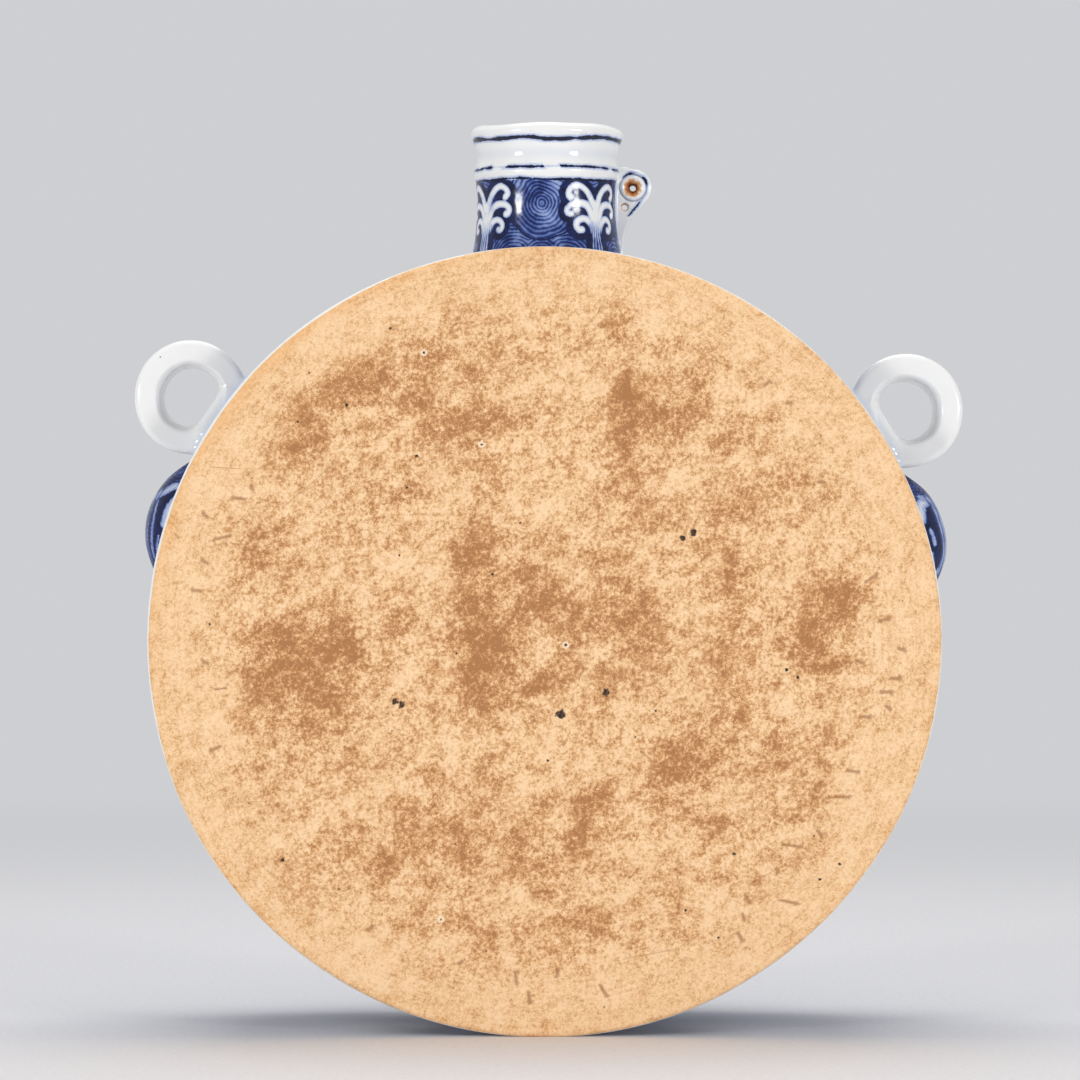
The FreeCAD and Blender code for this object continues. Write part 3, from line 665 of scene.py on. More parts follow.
# Colours of the clay, from unburnt to burnt
BURN = [
    (0.00, srgb(251, 216, 173)),
    (0.18, srgb(247, 209, 164)),
    (0.34, srgb(241, 200, 152)),
    (0.48, srgb(232, 186, 136)),
    (0.62, srgb(217, 166, 115)),
    (0.78, srgb(200, 146, 97)),
    (1.00, srgb(176, 122, 77)),
]
MARK_BROWN = srgb(164, 110, 72)
PIT_BROWN = srgb(112, 76, 52)
IRON_BLACK = srgb(38, 28, 26)
IRON_BROWN = srgb(92, 66, 50)
RING_CREAM = srgb(252, 228, 196)
FLASH_ORANGE = srgb(238, 180, 116)
COIL_CLAY = (srgb(226, 204, 174), srgb(238, 219, 192), srgb(196, 166, 130))
GRAIN_TILT = math.radians(40)
GRAIN_STRETCH = 1.3
CALM_RIM = (150, 188)
STREAKED_RIM = (140, 185)
GLAZE_EDGE = (-0.15, 0.15)
CLAY_ROUGHNESS = 0.82
RIM_ROUGHNESS = 0.16
CLAY_BUMP = 0.07


def from_spot(nodes, x, z):
    """Distance from a spot on the back's face, given by its place on the disc."""
    return nodes.vector("DISTANCE", nodes.place, (x, BACK_Y, DISC_Z + z))


def spots(nodes, fine):
    """Dark spots of melted iron with ragged outlines: 1 inside a spot."""
    ragged = 1.5 * fine + 3.2 * nodes.noise(1.5)
    return functools.reduce(Field.most, [
        (from_spot(nodes, x, z) + ragged * (radius / 2)).fade(radius * 0.65, radius * 0.95)
        for x, z, radius in IRON_SPOTS + RINGED_SPOTS])


def spot_rings(nodes, fine):
    """Pale rings about the small glassy spots."""
    return functools.reduce(Field.most, [
        (from_spot(nodes, x, z) + 1.7 * fine).fade(0.6 * SPOT_RING, SPOT_RING, 0.85)
        for x, z, _ in RINGED_SPOTS])


def scratches(nodes, fine):
    """Fine scratches in the clay: 1 along a scratch."""
    marks = []
    for start_x, start_z, end_x, end_z in SCRATCHES:
        way = np.array([end_x - start_x, 0, end_z - start_z])
        away = nodes.vector("SUBTRACT", nodes.place, (start_x, BACK_Y, DISC_Z + start_z))
        share = nodes.vector("DOT_PRODUCT", away, tuple(way / (way @ way)))
        share = nodes.math("MULTIPLY", share, 1.0, clamp=True)
        nearest = nodes.vector("SCALE", tuple(way), scale=share)
        marks.append((nodes.vector("DISTANCE", away, nearest) + 0.6 * fine).fade(0.12, 0.4))
    return functools.reduce(Field.most, marks)


def polar(nodes):
    """Radius and angle on the disc."""
    apart = nodes.add("ShaderNodeSeparateXYZ", {0: nodes.place}).outputs
    x, z = Field(nodes, apart["X"]), Field(nodes, apart["Z"]) - DISC_Z
    return nodes.length(x, z), nodes.math("ARCTAN2", z, x)


def tool_ticks(nodes, radius, angle, fine):
    """Short marks left in a ring near the rim, with a blob at the outer end: 1 inside a mark."""
    turn = angle * (TICK_COUNT / TURN)
    cell = nodes.math("FLOOR", turn)
    pick = nodes.add("ShaderNodeTexWhiteNoise", {"W": cell}, noise_dimensions="1D")
    chance, size, place = nodes.split(pick.outputs["Color"])
    along = radius - (TICK_SPREAD * place + (TICK_RADIUS - TICK_SPREAD / 2))
    lean = along * (0.2 * size - 0.1)
    across = nodes.math("ABSOLUTE", turn - cell - (lean + 0.5)) + 0.3 * fine
    half = TICK_HALF * size + 1.0
    past = nodes.math("ABSOLUTE", along) + 2.2 * fine - half
    mark = across.fade(0.06, 0.17) * past.fade(-0.8, 0.5)
    blob = nodes.length(across * TICK_CELL, along - half) + 2.6 * fine
    return mark.most(blob.fade(0.7, 1.7)) * chance.below(nodes.layer("ticks"))


def turning_streaks(nodes, radius, angle):
    """Faint streaks that run round the disc, from the turning of the clay."""
    sine, cosine = (STREAK_TURN * nodes.math(wave, angle) for wave in ("SINE", "COSINE"))
    join = nodes.add("ShaderNodeCombineXYZ", {"X": radius, "Y": sine, "Z": cosine})
    return nodes.noise(1.5, 3, 0.6, join.outputs[0])


def biscuit():
    """Unglazed clay, burnt to brown in patches by a sponge-like scorch, with iron spots and pits."""
    nodes = Nodes(bpy.data.materials.new("biscuit"))
    fine, sponge = nodes.noise(0.7), nodes.noise(1.9, 4, 0.62)
    grain = (math.cos(GRAIN_TILT), 0, math.sin(GRAIN_TILT))
    along_grain = nodes.vector("DOT_PRODUCT", nodes.place, grain) * (1 / GRAIN_STRETCH - 1)
    slanted = nodes.vector("ADD", nodes.place, nodes.vector("SCALE", grain, scale=along_grain))
    lump, cloud = nodes.noise(5.0, 3, 0.6, slanted), nodes.noise(16, 4, 0.6, slanted)
    radius, angle = polar(nodes)
    streaks = turning_streaks(nodes, radius, angle)

    burn = 0.42 * nodes.layer("scorch") + 0.36 + 1.9 * sponge + 1.6 * lump + 0.85 * cloud
    burn = burn + 0.42 * radius.step(*CALM_RIM) * (0.27 - burn)
    burn = burn + streaks * radius.step(*STREAKED_RIM, 0.05, 0.5)
    colour = nodes.ramp(burn + 1.05 * fine, BURN)

    marks = tool_ticks(nodes, radius, angle, fine).most(0.6 * scratches(nodes, fine))
    colour = nodes.mix(0.7 * marks, colour, MARK_BROWN)
    pits = nodes.dots(7.0, 0.16, 0.42).most(nodes.dots(15.0, 0.2, 0.7))
    colour = nodes.mix(0.8 * pits, colour, PIT_BROWN)
    colour = nodes.mix(spot_rings(nodes, fine), colour, RING_CREAM)
    iron = spots(nodes, fine)
    colour = nodes.mix(iron, colour, nodes.mix(fine.step(-0.1, 0.1), IRON_BLACK, IRON_BROWN))

    rim = nodes.layer("rim") + 0.7 * nodes.noise(6, 3)
    flash = (rim + 9.0 * cloud).step(-9.0, -0.3) * nodes.layer("flash")
    colour = nodes.mix(flash, colour, FLASH_ORANGE)
    colour = nodes.mix(rim.step(*GLAZE_EDGE), colour, PORCELAIN)

    roughness = rim.step(*GLAZE_EDGE, CLAY_ROUGHNESS, RIM_ROUGHNESS) - 0.4 * iron
    height = 0.475 + 0.4 * sponge + 0.3 * fine + 0.25 * streaks + iron - pits.most(0.6 * marks)
    return nodes.finish(colour, roughness, height * rim.step(-0.4, 0.2, 1.0, 0.1), CLAY_BUMP, LOW_SHINE)


def inside_clay():
    """Plain unglazed clay of the coils inside the flask, with finger marks."""
    nodes = Nodes(bpy.data.materials.new("inside_clay"))
    finger, grain = nodes.noise(16), nodes.noise(1.4, 4)
    dull, bright, speck = COIL_CLAY
    clay = nodes.mix(finger.step(-0.15, 0.15), dull, bright)
    clay = nodes.mix(grain.step(0.05, 0.25), clay, speck)
    return nodes.finish(clay, 0.8 + 0.2 * grain, finger + 0.2 * grain, 0.5, LOW_SHINE)


# Painting: white sprays and whorls of wave lines

# Curls of one side of a spray: points from the stem outwards, in millimetres on the neck
SPRAY_CURLS = [
    [(1.4, 19.5), (3.8, 25.0), (7.4, 28.8), (11.6, 30.2), (15.0, 28.6), (15.8, 26.0), (14.6, 24.6)],
    [(2.0, 13.5), (5.0, 19.4), (9.3, 21.4), (13.8, 21.0), (16.4, 18.8), (16.0, 16.6), (14.6, 16.0)],
    [(2.2, 7.6), (4.4, 11.8), (7.7, 13.6), (11.0, 12.4), (12.2, 9.8), (11.0, 7.8), (9.6, 7.9)],
]
STEM_TOP = 20.5
STEM_FOOT_HALF = 4.0
STEM_TOP_HALF = 2.7
CURL_HALVES = (2.25, 1.9, 1.65, 1.9)
SPRAY_FAR = 40.0
# Rings of sprays on the body, in the scale of the neck's: thinner strokes, the whorls between the
# sprays, and the middles of the waves below and above them
ROW_SLIMMER = 0.35
ROW_WHORL_HEIGHT = 20.5
ROW_WHORL_REACH = 19.5
ROW_LOW_WASH = -4
ROW_HIGH_WASH = 42


def smooth_path(points, steps):
    """""Points of a smooth curve through given ones."" """
    points = np.array(points, float)
    padded = np.concatenate([2 * points[:1] - points[1:2], points, 2 * points[-1:] - points[-2:-1]])
    t = np.arange(steps)[:, None] / steps
    spans = []
    for a, b, c, d in zip(padded, padded[1:], padded[2:], padded[3:]):
        bend = t * (c - a) + t ** 2 * (2 * a - 5 * b + 4 * c - d) + t ** 3 * (3 * b - a - 3 * c + d)
        spans.append(b + bend / 2)
    return np.concatenate([*spans, points[-1:]])


def spray_dots():
    """Overlapping discs that fill one side of a spray: place and radius."""
    dots = [(0.0, STEM_TOP * t, STEM_FOOT_HALF + (STEM_TOP_HALF - STEM_FOOT_HALF) * t)
            for t in np.linspace(0, 1, 24)]
    for curl in SPRAY_CURLS:
        path = smooth_path(curl, 6)
        halves = np.interp(np.linspace(0, 1, len(path)), np.linspace(0, 1, len(CURL_HALVES)), CURL_HALVES)
        dots += [(u, v, half) for (u, v), half in zip(path, halves)]
    return dots


SPRAY_DOTS = spray_dots()


def spray_distance(u, v, scale):
    """Distance outside a spray that stands at the origin and grows along v."""
    u, v = np.abs(u) / scale, v / scale
    best = np.full(u.shape, SPRAY_FAR)
    for dot_u, dot_v, half in SPRAY_DOTS:
        best = np.minimum(best, np.hypot(u - dot_u, v - dot_v) - half)
    return best * scale


def fold(value, period, offset):
    """Distance from the nearest of evenly spaced places, and which place that is."""
    which = np.round((value - offset) / period)
    return value - offset - which * period, which


def wave_row(points, u, v, row, seed):
    """A ring of sprays with a whorl between each two: the layers of its painting.
    u runs round the ring and v across it. The row holds the number of sprays, their spacing, the
    place of the first, the scale of the drawing and the level that the sprays stand on."""
    count, period, offset, scale, foot = row
    bent_u = u + 0.9 * scale * sway(points, 26 * scale, seed)
    rise = v + 0.7 * scale * sway(points, 22 * scale, seed + 1) - foot
    spray_u, which = fold(bent_u, period, offset)
    which = which % count
    spray_v = rise - 1.2 * scale * np.sin(which * 2.3)
    spray_u = spray_u - 0.14 * np.sin(which * 1.9) * spray_v
    spray = spray_distance(spray_u, spray_v, scale * (1 + 0.08 * np.sin(which * 4.1)))
    spray = spray + ROW_SLIMMER * scale
    whorl_u, which = fold(bent_u, period, offset + period / 2)
    which = which % count
    whorl_u = whorl_u - 1.4 * scale * np.sin(which * 2.9)
    whorl_v = rise - scale * (ROW_WHORL_HEIGHT + 1.8 * np.sin(which * 1.7))
    whorl = np.hypot(whorl_u * 0.95 + 0.06 * whorl_v, whorl_v)
    reach = ROW_WHORL_REACH * scale * (1 + 0.06 * sway(points, 15 * scale, seed + 2))
    wash_u, _ = fold(bent_u, period / 3, offset)
    low_wash, high_wash = (np.hypot(wash_u, rise - level * scale) for level in (ROW_LOW_WASH, ROW_HIGH_WASH))
    stem = 1 - smooth(3.6 * scale, 5.5 * scale, np.abs(spray_u))
    return {
        "wave": np.where(whorl < reach, whorl, np.minimum(low_wash, high_wash)),
        "spray": spray,
        "navy": np.maximum(1 - smooth(1.6 * scale, 4.4 * scale, spray), hump(whorl, reach, 1.3 * scale)),
        "foot": stem * (1 - smooth(1.0 * scale, 14.0 * scale, spray_v)),
        "streak": spray_u * (1 + 0.015 / scale * np.clip(spray_v, 0, 20 * scale)),
    }


def line_distance(value, places, half, points, seed):
    """Distance outside hand-drawn lines at these values, with a wandering place and width."""
    best = np.full(value.shape, FAR)
    for number, place in enumerate(places):
        drift = 0.55 * sway(points, 38, seed + 3 * number)
        width = half * (1 + 0.35 * sway(points, 9, seed + 3 * number + 1))
        best = np.minimum(best, np.abs(value - place - drift) - width)
    return best


# Back slab

# Scorched patches: middle from the disc's, half sizes, tilt in degrees, strength
SCORCH = [
    (-96, 134, 20, 9, 30, 1.0), (-118, 114, 18, 17, 0, 0.75), (-125, 99, 10, 8, 0, 0.6),
    (-61, 124, 10, 12, 0, 0.75), (-37, 134, 8, 8, 0, 0.65), (-44, 105, 16, 10, 15, 0.7),
    (-27, 113, 12, 8, 0, 0.6), (-60, 148, 10, 7, 0, 0.45), (41, 124, 8, 32, 0, 1.0),
    (37, 167, 7, 8, 0, 0.6), (40, 97, 12, 12, 0, 0.6), (66, 113, 14, 9, 0, 0.75),
    (79, 139, 8, 20, -20, 0.4), (92, 99, 6, 7, 0, 0.55), (56, 66, 12, 7, 0, 0.65),
    (46, 79, 6, 6, 0, 0.5), (121, 81, 9, 8, 0, 0.65), (104, 70, 12, 8, 0, 0.5),
    (94, 44, 12, 22, 0, 0.4), (97, 28, 9, 10, 0, 0.5), (97, 10, 6, 6, 0, 0.5),
    (91, -12, 10, 12, 0, 0.5), (143, 13, 13, 22, 0, 0.85), (152, 23, 9, 8, 0, 0.85),
    (134, -2, 7, 12, 0, 0.9), (144, -12, 8, 5, 0, 0.7), (-35, 46, 12, 15, -20, 0.85),
    (-35, 16, 8, 20, 0, 0.75), (-32, -12, 7, 25, 0, 0.8), (-30, -27, 7, 8, 0, 0.6),
    (-7, 33, 7, 6, 0, 0.8), (10, 13, 9, 14, 25, 0.8), (-17, -2, 14, 18, 0, 0.45),
    (0, -17, 14, 5, 35, 0.85), (7, 48, 6, 6, 0, 0.6), (-15, 21, 14, 12, 0, 0.4),
    (43, 14, 14, 22, 0, 0.6), (6, 4, 46, 40, 0, 0.42), (-1, -5, 8, 9, 0, -0.9),
    (-73, 11, 8, 12, 0, 0.4), (-105, 8, 8, 12, 0, 1.2), (-133, 6, 14, 10, 0, 0.9),
    (-141, -19, 11, 14, 0, 1.0), (-115, -19, 18, 18, 0, 0.75), (-133, -45, 16, 8, 0, 0.6),
    (-103, -40, 10, 12, 0, 0.6), (-98, -7, 6, 8, 0, 0.7), (-144, 54, 11, 10, 0, 0.75),
    (-131, 40, 10, 9, 0, 0.65), (-79, -113, 10, 8, 0, 0.75), (-50, -95, 16, 12, 0, 0.85),
    (-56, -120, 7, 6, 0, 0.8), (-73, -85, 9, 6, 0, 0.6), (-100, -100, 10, 9, 0, 0.35),
    (-42, -108, 6, 8, 0, 0.7), (-57, -67, 8, 6, 0, 0.55), (-26, -70, 7, 8, 0, 0.5),
    (-16, -98, 9, 14, 0, 0.65), (-2, -121, 7, 7, 0, 0.8), (23, -84, 9, 12, 0, 0.95),
    (18, -105, 9, 14, 0, 0.8), (36, -114, 8, 5, 0, 0.4), (65, -62, 10, 15, 0, 0.85),
    (81, -55, 20, 10, 0, 0.5), (98, -35, 10, 14, 0, 0.55), (85, -90, 11, 7, 0, 0.8),
    (118, -58, 6, 9, 0, 0.6), (138, -67, 5, 18, 0, 0.55), (126, -89, 10, 6, 30, 0.5),
    (89, -118, 10, 6, 0, 0.4), (-40, -138, 7, 6, 0, 0.65), (-27, -152, 5, 7, 0, 0.6),
    (7, -143, 9, 6, 0, 0.65), (29, -142, 10, 5, 0, 0.6), (-133, -113, 6, 5, 0, 0.55),
    (-160, -72, 9, 7, 0, 0.45), (-133, -90, 12, 5, 0, 0.4), (-56, -166, 6, 5, 0, 0.45),
    (-45, 165, 10, 6, 0, 0.4), (-25, 154, 10, 8, 0, 0.4), (-83, 92, 10, 5, 35, 0.4),
    (-95, 79, 8, 5, 35, 0.35), (-128, -122, 44, 20, -45, 0.3),
]
SCORCH_SPREAD = 1.15
SCORCH_MOST = 1.15
# Where the rim has tool marks: middle angle and half width in degrees, share of places with a mark
TICK_SECTORS = [(174, 28, 0.5), (-6, 28, 0.6), (-94, 26, 0.62), (34, 14, 0.25), (-46, 24, 0.4)]
# Middle angle and half width, in degrees, of the wider glazed edge and of the orange flash by it
WIDE_EDGE = (150, 62)
FLASH = (138, 62)
# Radius from which the slab's mesh is finer
FINE_FROM = 164


def scorch_field(x, z):
    """How strongly the clay is burnt at places on the disc."""
    radius = np.hypot(x, z)
    total = 0.13 + 0.1 * sway(np.stack([x, z], 1), 60, 3)
    total = total - 0.2 * smooth(150, 190, radius) - 0.18 * hump(radius, 66, 16)
    for middle_x, middle_z, half_x, half_z, tilt, strength in SCORCH:
        turn = math.radians(tilt)
        along = (x - middle_x) * math.cos(turn) + (z - middle_z) * math.sin(turn)
        across = (z - middle_z) * math.cos(turn) - (x - middle_x) * math.sin(turn)
        away = (along / (SCORCH_SPREAD * half_x)) ** 2 + (across / (SCORCH_SPREAD * half_z)) ** 2
        total = total + strength * np.exp(-away)
    return np.clip(total, 0, SCORCH_MOST)


def back_slab(finish):
    """Flat round slab of the back, not quite even, with a rounded edge."""
    edge, edge_y = DISC_RADIUS - SLAB_EDGE_ROUND, BACK_Y + SLAB_EDGE_ROUND
    outline = Outline(2, BACK_Y).to(FINE_FROM, BACK_Y, 81).to(edge - 1, BACK_Y, 36).to(edge, BACK_Y, 2)
    outline.round((edge, edge_y), SLAB_EDGE_ROUND, -90, 0, 10).to(DISC_RADIUS, WALL_BACK_Y, 5)
    outline.to(SPIGOT_RADIUS, WALL_BACK_Y, 4).to(SPIGOT_RADIUS, SLAB_INSIDE_Y, 2).to(4, SLAB_INSIDE_Y, 20)
    radius, level, angle, faces = lathe(outline, count=420, closed=False)
    on_back = level < BACK_Y + 0.01
    flat = np.stack([radius * np.cos(angle), radius * np.sin(angle)], 1)
    level = level + on_back * 0.12 * sway(flat, 70, 7) * (1 - smooth(edge - 30, edge - 1, radius))
    points = rim_points(radius, level, angle)
    wide, half = WIDE_EDGE
    width = 0.4 + 0.85 * hump(angle_from(angle, wide), 0, half)
    width = width + 0.25 * np.sin(angle * 11) * np.sin(angle * 5)
    flash, flash_half = FLASH
    ticks = [share * hump(angle_from(angle, middle), 0, half * 1.3) for middle, half, share in TICK_SECTORS]
    add_piece(new_mesh("back_slab", points, faces), finish, ["back_plate"], {
        "scorch": scorch_field(points[:, 0], points[:, 2] - DISC_Z),
        "rim": np.where(level > edge_y, 4.0, radius - (DISC_RADIUS - width)),
        "ticks": np.max(ticks, 0),
        "flash": 0.1 + 0.42 * hump(angle_from(angle, flash), 0, flash_half),
    })


# Side wall, dome and boss

WALL_SPRAYS = 12
WALL_SPRAY_ANGLE = 1.0
WALL_SCALE = 2.15
# Heights between which the neck's hole is cut through the wall
NECK_CUT = (380, 410)
# Half sizes, along the rim and from back to front, of the bare feet of the rings and the lugs
RING_FOOT = (21, 18)
LUG_FOOT = (26, 12)
# Added to the distance of a foot on the other side of the flask
OTHER_SIDE = 200


def ring_frame(side):
    """Middle of a ring's hole, and the outward and upward directions of its place on the rim."""
    place, _, _ = mount(f"{side}_ring_eye")
    out = place - np.array([0, 0, DISC_Z])
    out /= np.linalg.norm(out)
    along = np.array([-out[2], 0, out[0]]) * np.sign(out[0])
    return place, out, along


def lug_frame(side):
    """Point on a lug's turning axis, and the outward and upward directions of its place on the rim."""
    place, axis, _ = mount(f"{side}_cord_hole")
    along = -axis
    out = np.array([along[2], 0, -along[0]])
    out *= np.sign(out[0] * place[0])
    return place - LUG_HOLE_REACH * out, out, along


def foot_distance(points):
    """Distance on the wall from the feet of the neck, the rings and the lugs."""
    away = points - (NECK_X, 0, DISC_Z)
    best = np.hypot(away[:, 0], away[:, 1]) - NECK_ROOT_RADIUS + OTHER_SIDE * (away[:, 2] < 0)
    for side in ("left", "right"):
        for (place, out, along), (half_long, half_deep) in ((ring_frame(side), RING_FOOT),
                                                            (lug_frame(side), LUG_FOOT)):
            away = points - place
            far = np.hypot(np.maximum(np.abs(away @ along) - half_long, 0),
                           np.maximum(np.abs(away[:, 1]) - half_deep, 0))
            best = np.minimum(best, far + OTHER_SIDE * (away @ out < -60))
    return best


def wall_paint(points):
    """Painting of the wall: one ring of sprays all round, between border lines."""
    angle, radius = disc_polar(points)
    y = points[:, 1]
    first = math.radians(WALL_SPRAY_ANGLE) * DISC_RADIUS
    row = (WALL_SPRAYS, TURN * DISC_RADIUS / WALL_SPRAYS, first, WALL_SCALE, WALL_BACK_Y + 3)
    outside = radius > DISC_RADIUS - 3.5
    foot = foot_distance(points)
    lines = line_distance(y, [WALL_BACK_Y + 2.4], 0.8, points, 60)
    lines = np.minimum(lines, np.abs(foot - 3.6) - 0.7)
    return {
        **wave_row(points, angle * DISC_RADIUS, y, row, 40),
        "ground": outside * smooth(1.2, 3.2, foot) * smooth(WALL_BACK_Y + 0.6, WALL_BACK_Y + 1.8, y),
        "line": np.where(outside, lines, FAR),
    }


def side_wall(finish):
    """Round wall between the back and the dome, with the hole that the neck stands in."""
    inside = DISC_RADIUS - SHELL
    outline = Outline(DISC_RADIUS, WALL_BACK_Y).to(DISC_RADIUS, WALL_FRONT_Y, 66).to(inside, WALL_FRONT_Y, 4)
    outline.to(inside, WALL_BACK_Y, 10).to(DISC_RADIUS, WALL_BACK_Y, 4)
    radius, level, angle, faces = lathe(outline, count=840, closed=True)
    ring = new_mesh("side_wall_ring", rim_points(radius, level, angle), faces)
    cut_radius = (BORE_RADIUS + NECK_ROOT_RADIUS) / 2
    low, high = NECK_CUT
    cutter = Outline(2, low).to(cut_radius, low, 2).to(cut_radius, high, 2).to(1, high, 2)
    radius, level, angle, faces = lathe(cutter, count=96, closed=False)
    mesh = cut_mesh("side_wall_glazed", ring, new_mesh("neck_hole", neck_points(radius, level, angle), faces))
    add_piece(mesh, finish, ["side_wall"], wall_paint(mesh_points(mesh)))


# Rings of sprays on the dome: number, foot's distance from the boss's seat along the outline, scale,
# turn of the ring
DOME_ROWS = [
    (6, 13.0, 1.55, 0.25),
    (9, 66.0, 1.5, 0.62),
    (12, 122.0, 1.42, 0.33),
]


def dome_outline_length(points):
    """Distance from the boss's seat along the dome's outline."""
    _, radius = disc_polar(points)
    crown_angle = np.arcsin(np.minimum(radius / DOME_ROUND, math.sin(DOME_TILT)))
    crown = DOME_ROUND * (crown_angle - math.asin(SEAT_RADIUS / DOME_ROUND))
    bend = np.arctan2(radius - SHOULDER_REACH, np.maximum(points[:, 1] - SHOULDER_Y, 0)) - DOME_TILT
    side = SHOULDER_ROUND * np.clip(bend, 0, math.pi / 2 - DOME_TILT)
    return crown + side + np.maximum(SHOULDER_Y - points[:, 1], 0)


def dome_level(radius):
    """Depth of the dome's outer surface at a radius from the disc's axis."""
    crown = DOME_CENTRE_Y + np.sqrt(DOME_ROUND ** 2 - radius ** 2)
    drop = np.maximum(radius - SHOULDER_REACH, 0)
    side = SHOULDER_Y + np.sqrt(np.maximum(SHOULDER_ROUND ** 2 - drop ** 2, 0))
    return np.where(radius < SHOULDER_REACH * DOME_ROUND / ARC_GAP, crown, side)


def dome_paint(points):
    """Painting of the dome: three rings of sprays between border lines."""
    angle, radius = disc_polar(points)
    along = dome_outline_length(points)
    layers = {}
    for number, (sprays, foot, scale, turn) in enumerate(DOME_ROWS):
        middle = np.interp(foot + 20 * scale, [0, 110, 170], [SEAT_RADIUS, 167, DISC_RADIUS])
        period = TURN * middle / sprays
        row = (sprays, period, turn * period, scale, foot)
        painted = wave_row(points, angle * middle, along, row, 70 + 10 * number)
        for key, values in painted.items():
            layers[key] = np.where(along > foot - 4, values, layers.get(key, values))
    outside = (points[:, 1] > dome_level(radius) - 4.5) | (radius > DISC_RADIUS - 4)
    borders = [3.5, 8.5, *(foot - 4 for _, foot, _, _ in DOME_ROWS[1:])]
    layers["ground"] = outside * smooth(8.0, 10.0, along)
    layers["line"] = np.where(outside, line_distance(along, borders, 0.8, points, 90), FAR)
    return layers


def front_dome(finish):
    """Domed front with its rounded shoulder, open under the boss."""
    bend = 90 - math.degrees(DOME_TILT)
    seat = math.degrees(math.acos(SEAT_RADIUS / DOME_ROUND))
    inner = math.degrees(math.acos(BOSS_OPENING / (DOME_ROUND - SHELL)))
    inside = DISC_RADIUS - SHELL
    shoulder, centre = (SHOULDER_REACH, SHOULDER_Y), (0, DOME_CENTRE_Y)
    outline = Outline(DISC_RADIUS, WALL_FRONT_Y).to(DISC_RADIUS, SHOULDER_Y, 9)
    outline.round(shoulder, SHOULDER_ROUND, 0, bend, 36).round(centre, DOME_ROUND, bend, seat, 74)
    outline.skip(SEAT_RADIUS, DOME_TOP_Y).to(BOSS_OPENING, DOME_TOP_Y, 5)
    outline.round(centre, DOME_ROUND - SHELL, inner, bend, 14)
    outline.round(shoulder, SHOULDER_ROUND - SHELL, bend, 0, 8)
    outline.to(inside, WALL_FRONT_Y, 3).to(DISC_RADIUS, WALL_FRONT_Y, 3)
    radius, level, angle, faces = lathe(outline, count=600, closed=True)
    points = rim_points(radius, level, angle)
    add_piece(new_mesh("front_dome_glazed", points, faces), finish, ["front_dome"], dome_paint(points))


# The boss's rosette: petals, the middle of their length, half that length, their width, and the heart
PETALS = 12
PETAL_MIDDLE = 24
PETAL_LONG = 13
PETAL_WIDE = 0.19
HEART_RADIUS = 6.5
HEART_HALF = 2.4
ROSETTE_EDGE = 38
BOSS_WAVES = 20


def boss_paint(points):
    """Painting of the boss: a rosette on top and a band of waves round its side."""
    angle, radius = disc_polar(points)
    y = points[:, 1]
    on_top = y > BOSS_TOP_Y - BOSS_CROWN - BOSS_EDGE_ROUND * 0.35
    outside = (radius > BOSS_RADIUS - 4) | (y > BOSS_TOP_Y - BOSS_WALL)
    swing, which = fold(angle + 0.03 * sway(points, 30, 5), TURN / PETALS, 0.13)
    across = np.abs(radius * np.sin(swing))
    tip = PETAL_MIDDLE + 0.8 * np.sin(which % PETALS * 2.1)
    petal = np.hypot(across / (PETAL_WIDE * radius + 1e-6), (radius - tip) / PETAL_LONG) - 1
    heart = np.abs(radius - HEART_RADIUS) - HEART_HALF
    wave_u, _ = fold(angle * BOSS_RADIUS, TURN * BOSS_RADIUS / BOSS_WAVES, 0)
    lines = line_distance(radius, [40.5, 45.5], 0.8, points, 110)
    side = line_distance(y, [DOME_TOP_Y + 3.5, BOSS_TOP_Y - BOSS_CROWN - 6.5], 0.7, points, 120)
    band = (side > -0.5) * smooth(DOME_TOP_Y + 3, DOME_TOP_Y + 4, y)
    band = band * (1 - smooth(BOSS_TOP_Y - 10, BOSS_TOP_Y - 9, y))
    return {
        "wave": np.where(on_top, 20 - radius, np.hypot(wave_u, y - DOME_TOP_Y - 1)),
        "spray": np.where(on_top, np.minimum(petal * PETAL_WIDE * radius, heart), FAR),
        "navy": np.where(on_top, 1 - smooth(ROSETTE_EDGE, ROSETTE_EDGE + 1, radius), 0),
        "foot": np.where(on_top, 0.6 * (1 - smooth(12, 20, radius)), 0),
        "streak": across,
        "ground": outside * np.where(on_top, 1 - smooth(ROSETTE_EDGE + 0.5, ROSETTE_EDGE + 2, radius), band),
        "line": np.where(outside, np.where(on_top, lines, side), FAR),
    }


def front_boss(finish):
    """Raised cap on the middle of the dome, with a swelling top and a luted foot."""
    flat, inner = BOSS_RADIUS - BOSS_EDGE_ROUND, BOSS_RADIUS - BOSS_WALL
    crown_y = BOSS_TOP_Y - BOSS_CROWN
    edge_y = crown_y - BOSS_EDGE_ROUND
    t = np.linspace(0.02, 1, 50, endpoint=False)[:, None]
    crown = np.concatenate([flat * t, BOSS_TOP_Y - BOSS_CROWN * t ** 2], 1)
    outline = Outline(0, BOSS_TOP_Y).leg(crown, (flat, crown_y))
    outline.round((flat, edge_y), BOSS_EDGE_ROUND, 90, 0, 12).to(BOSS_RADIUS, DOME_TOP_Y + 2, 24)
    outline.round((BOSS_RADIUS + 2, DOME_TOP_Y + 2), 2, 180, 262, 6)
    outline.skip(SEAT_RADIUS + 1, DOME_TOP_Y - 0.3).to(inner, DOME_TOP_Y - 0.1, 4)
    outline.skip(inner, DOME_TOP_Y).to(inner, crown_y - BOSS_WALL, 4).to(3, BOSS_TOP_Y - BOSS_WALL, 12)
    radius, level, angle, faces = lathe(outline, count=320, closed=False)
    points = rim_points(radius, level, angle)
    add_piece(new_mesh("front_boss_glazed", points, faces), finish, ["front_boss"], boss_paint(points))


# Neck, mouth collar and cord loop

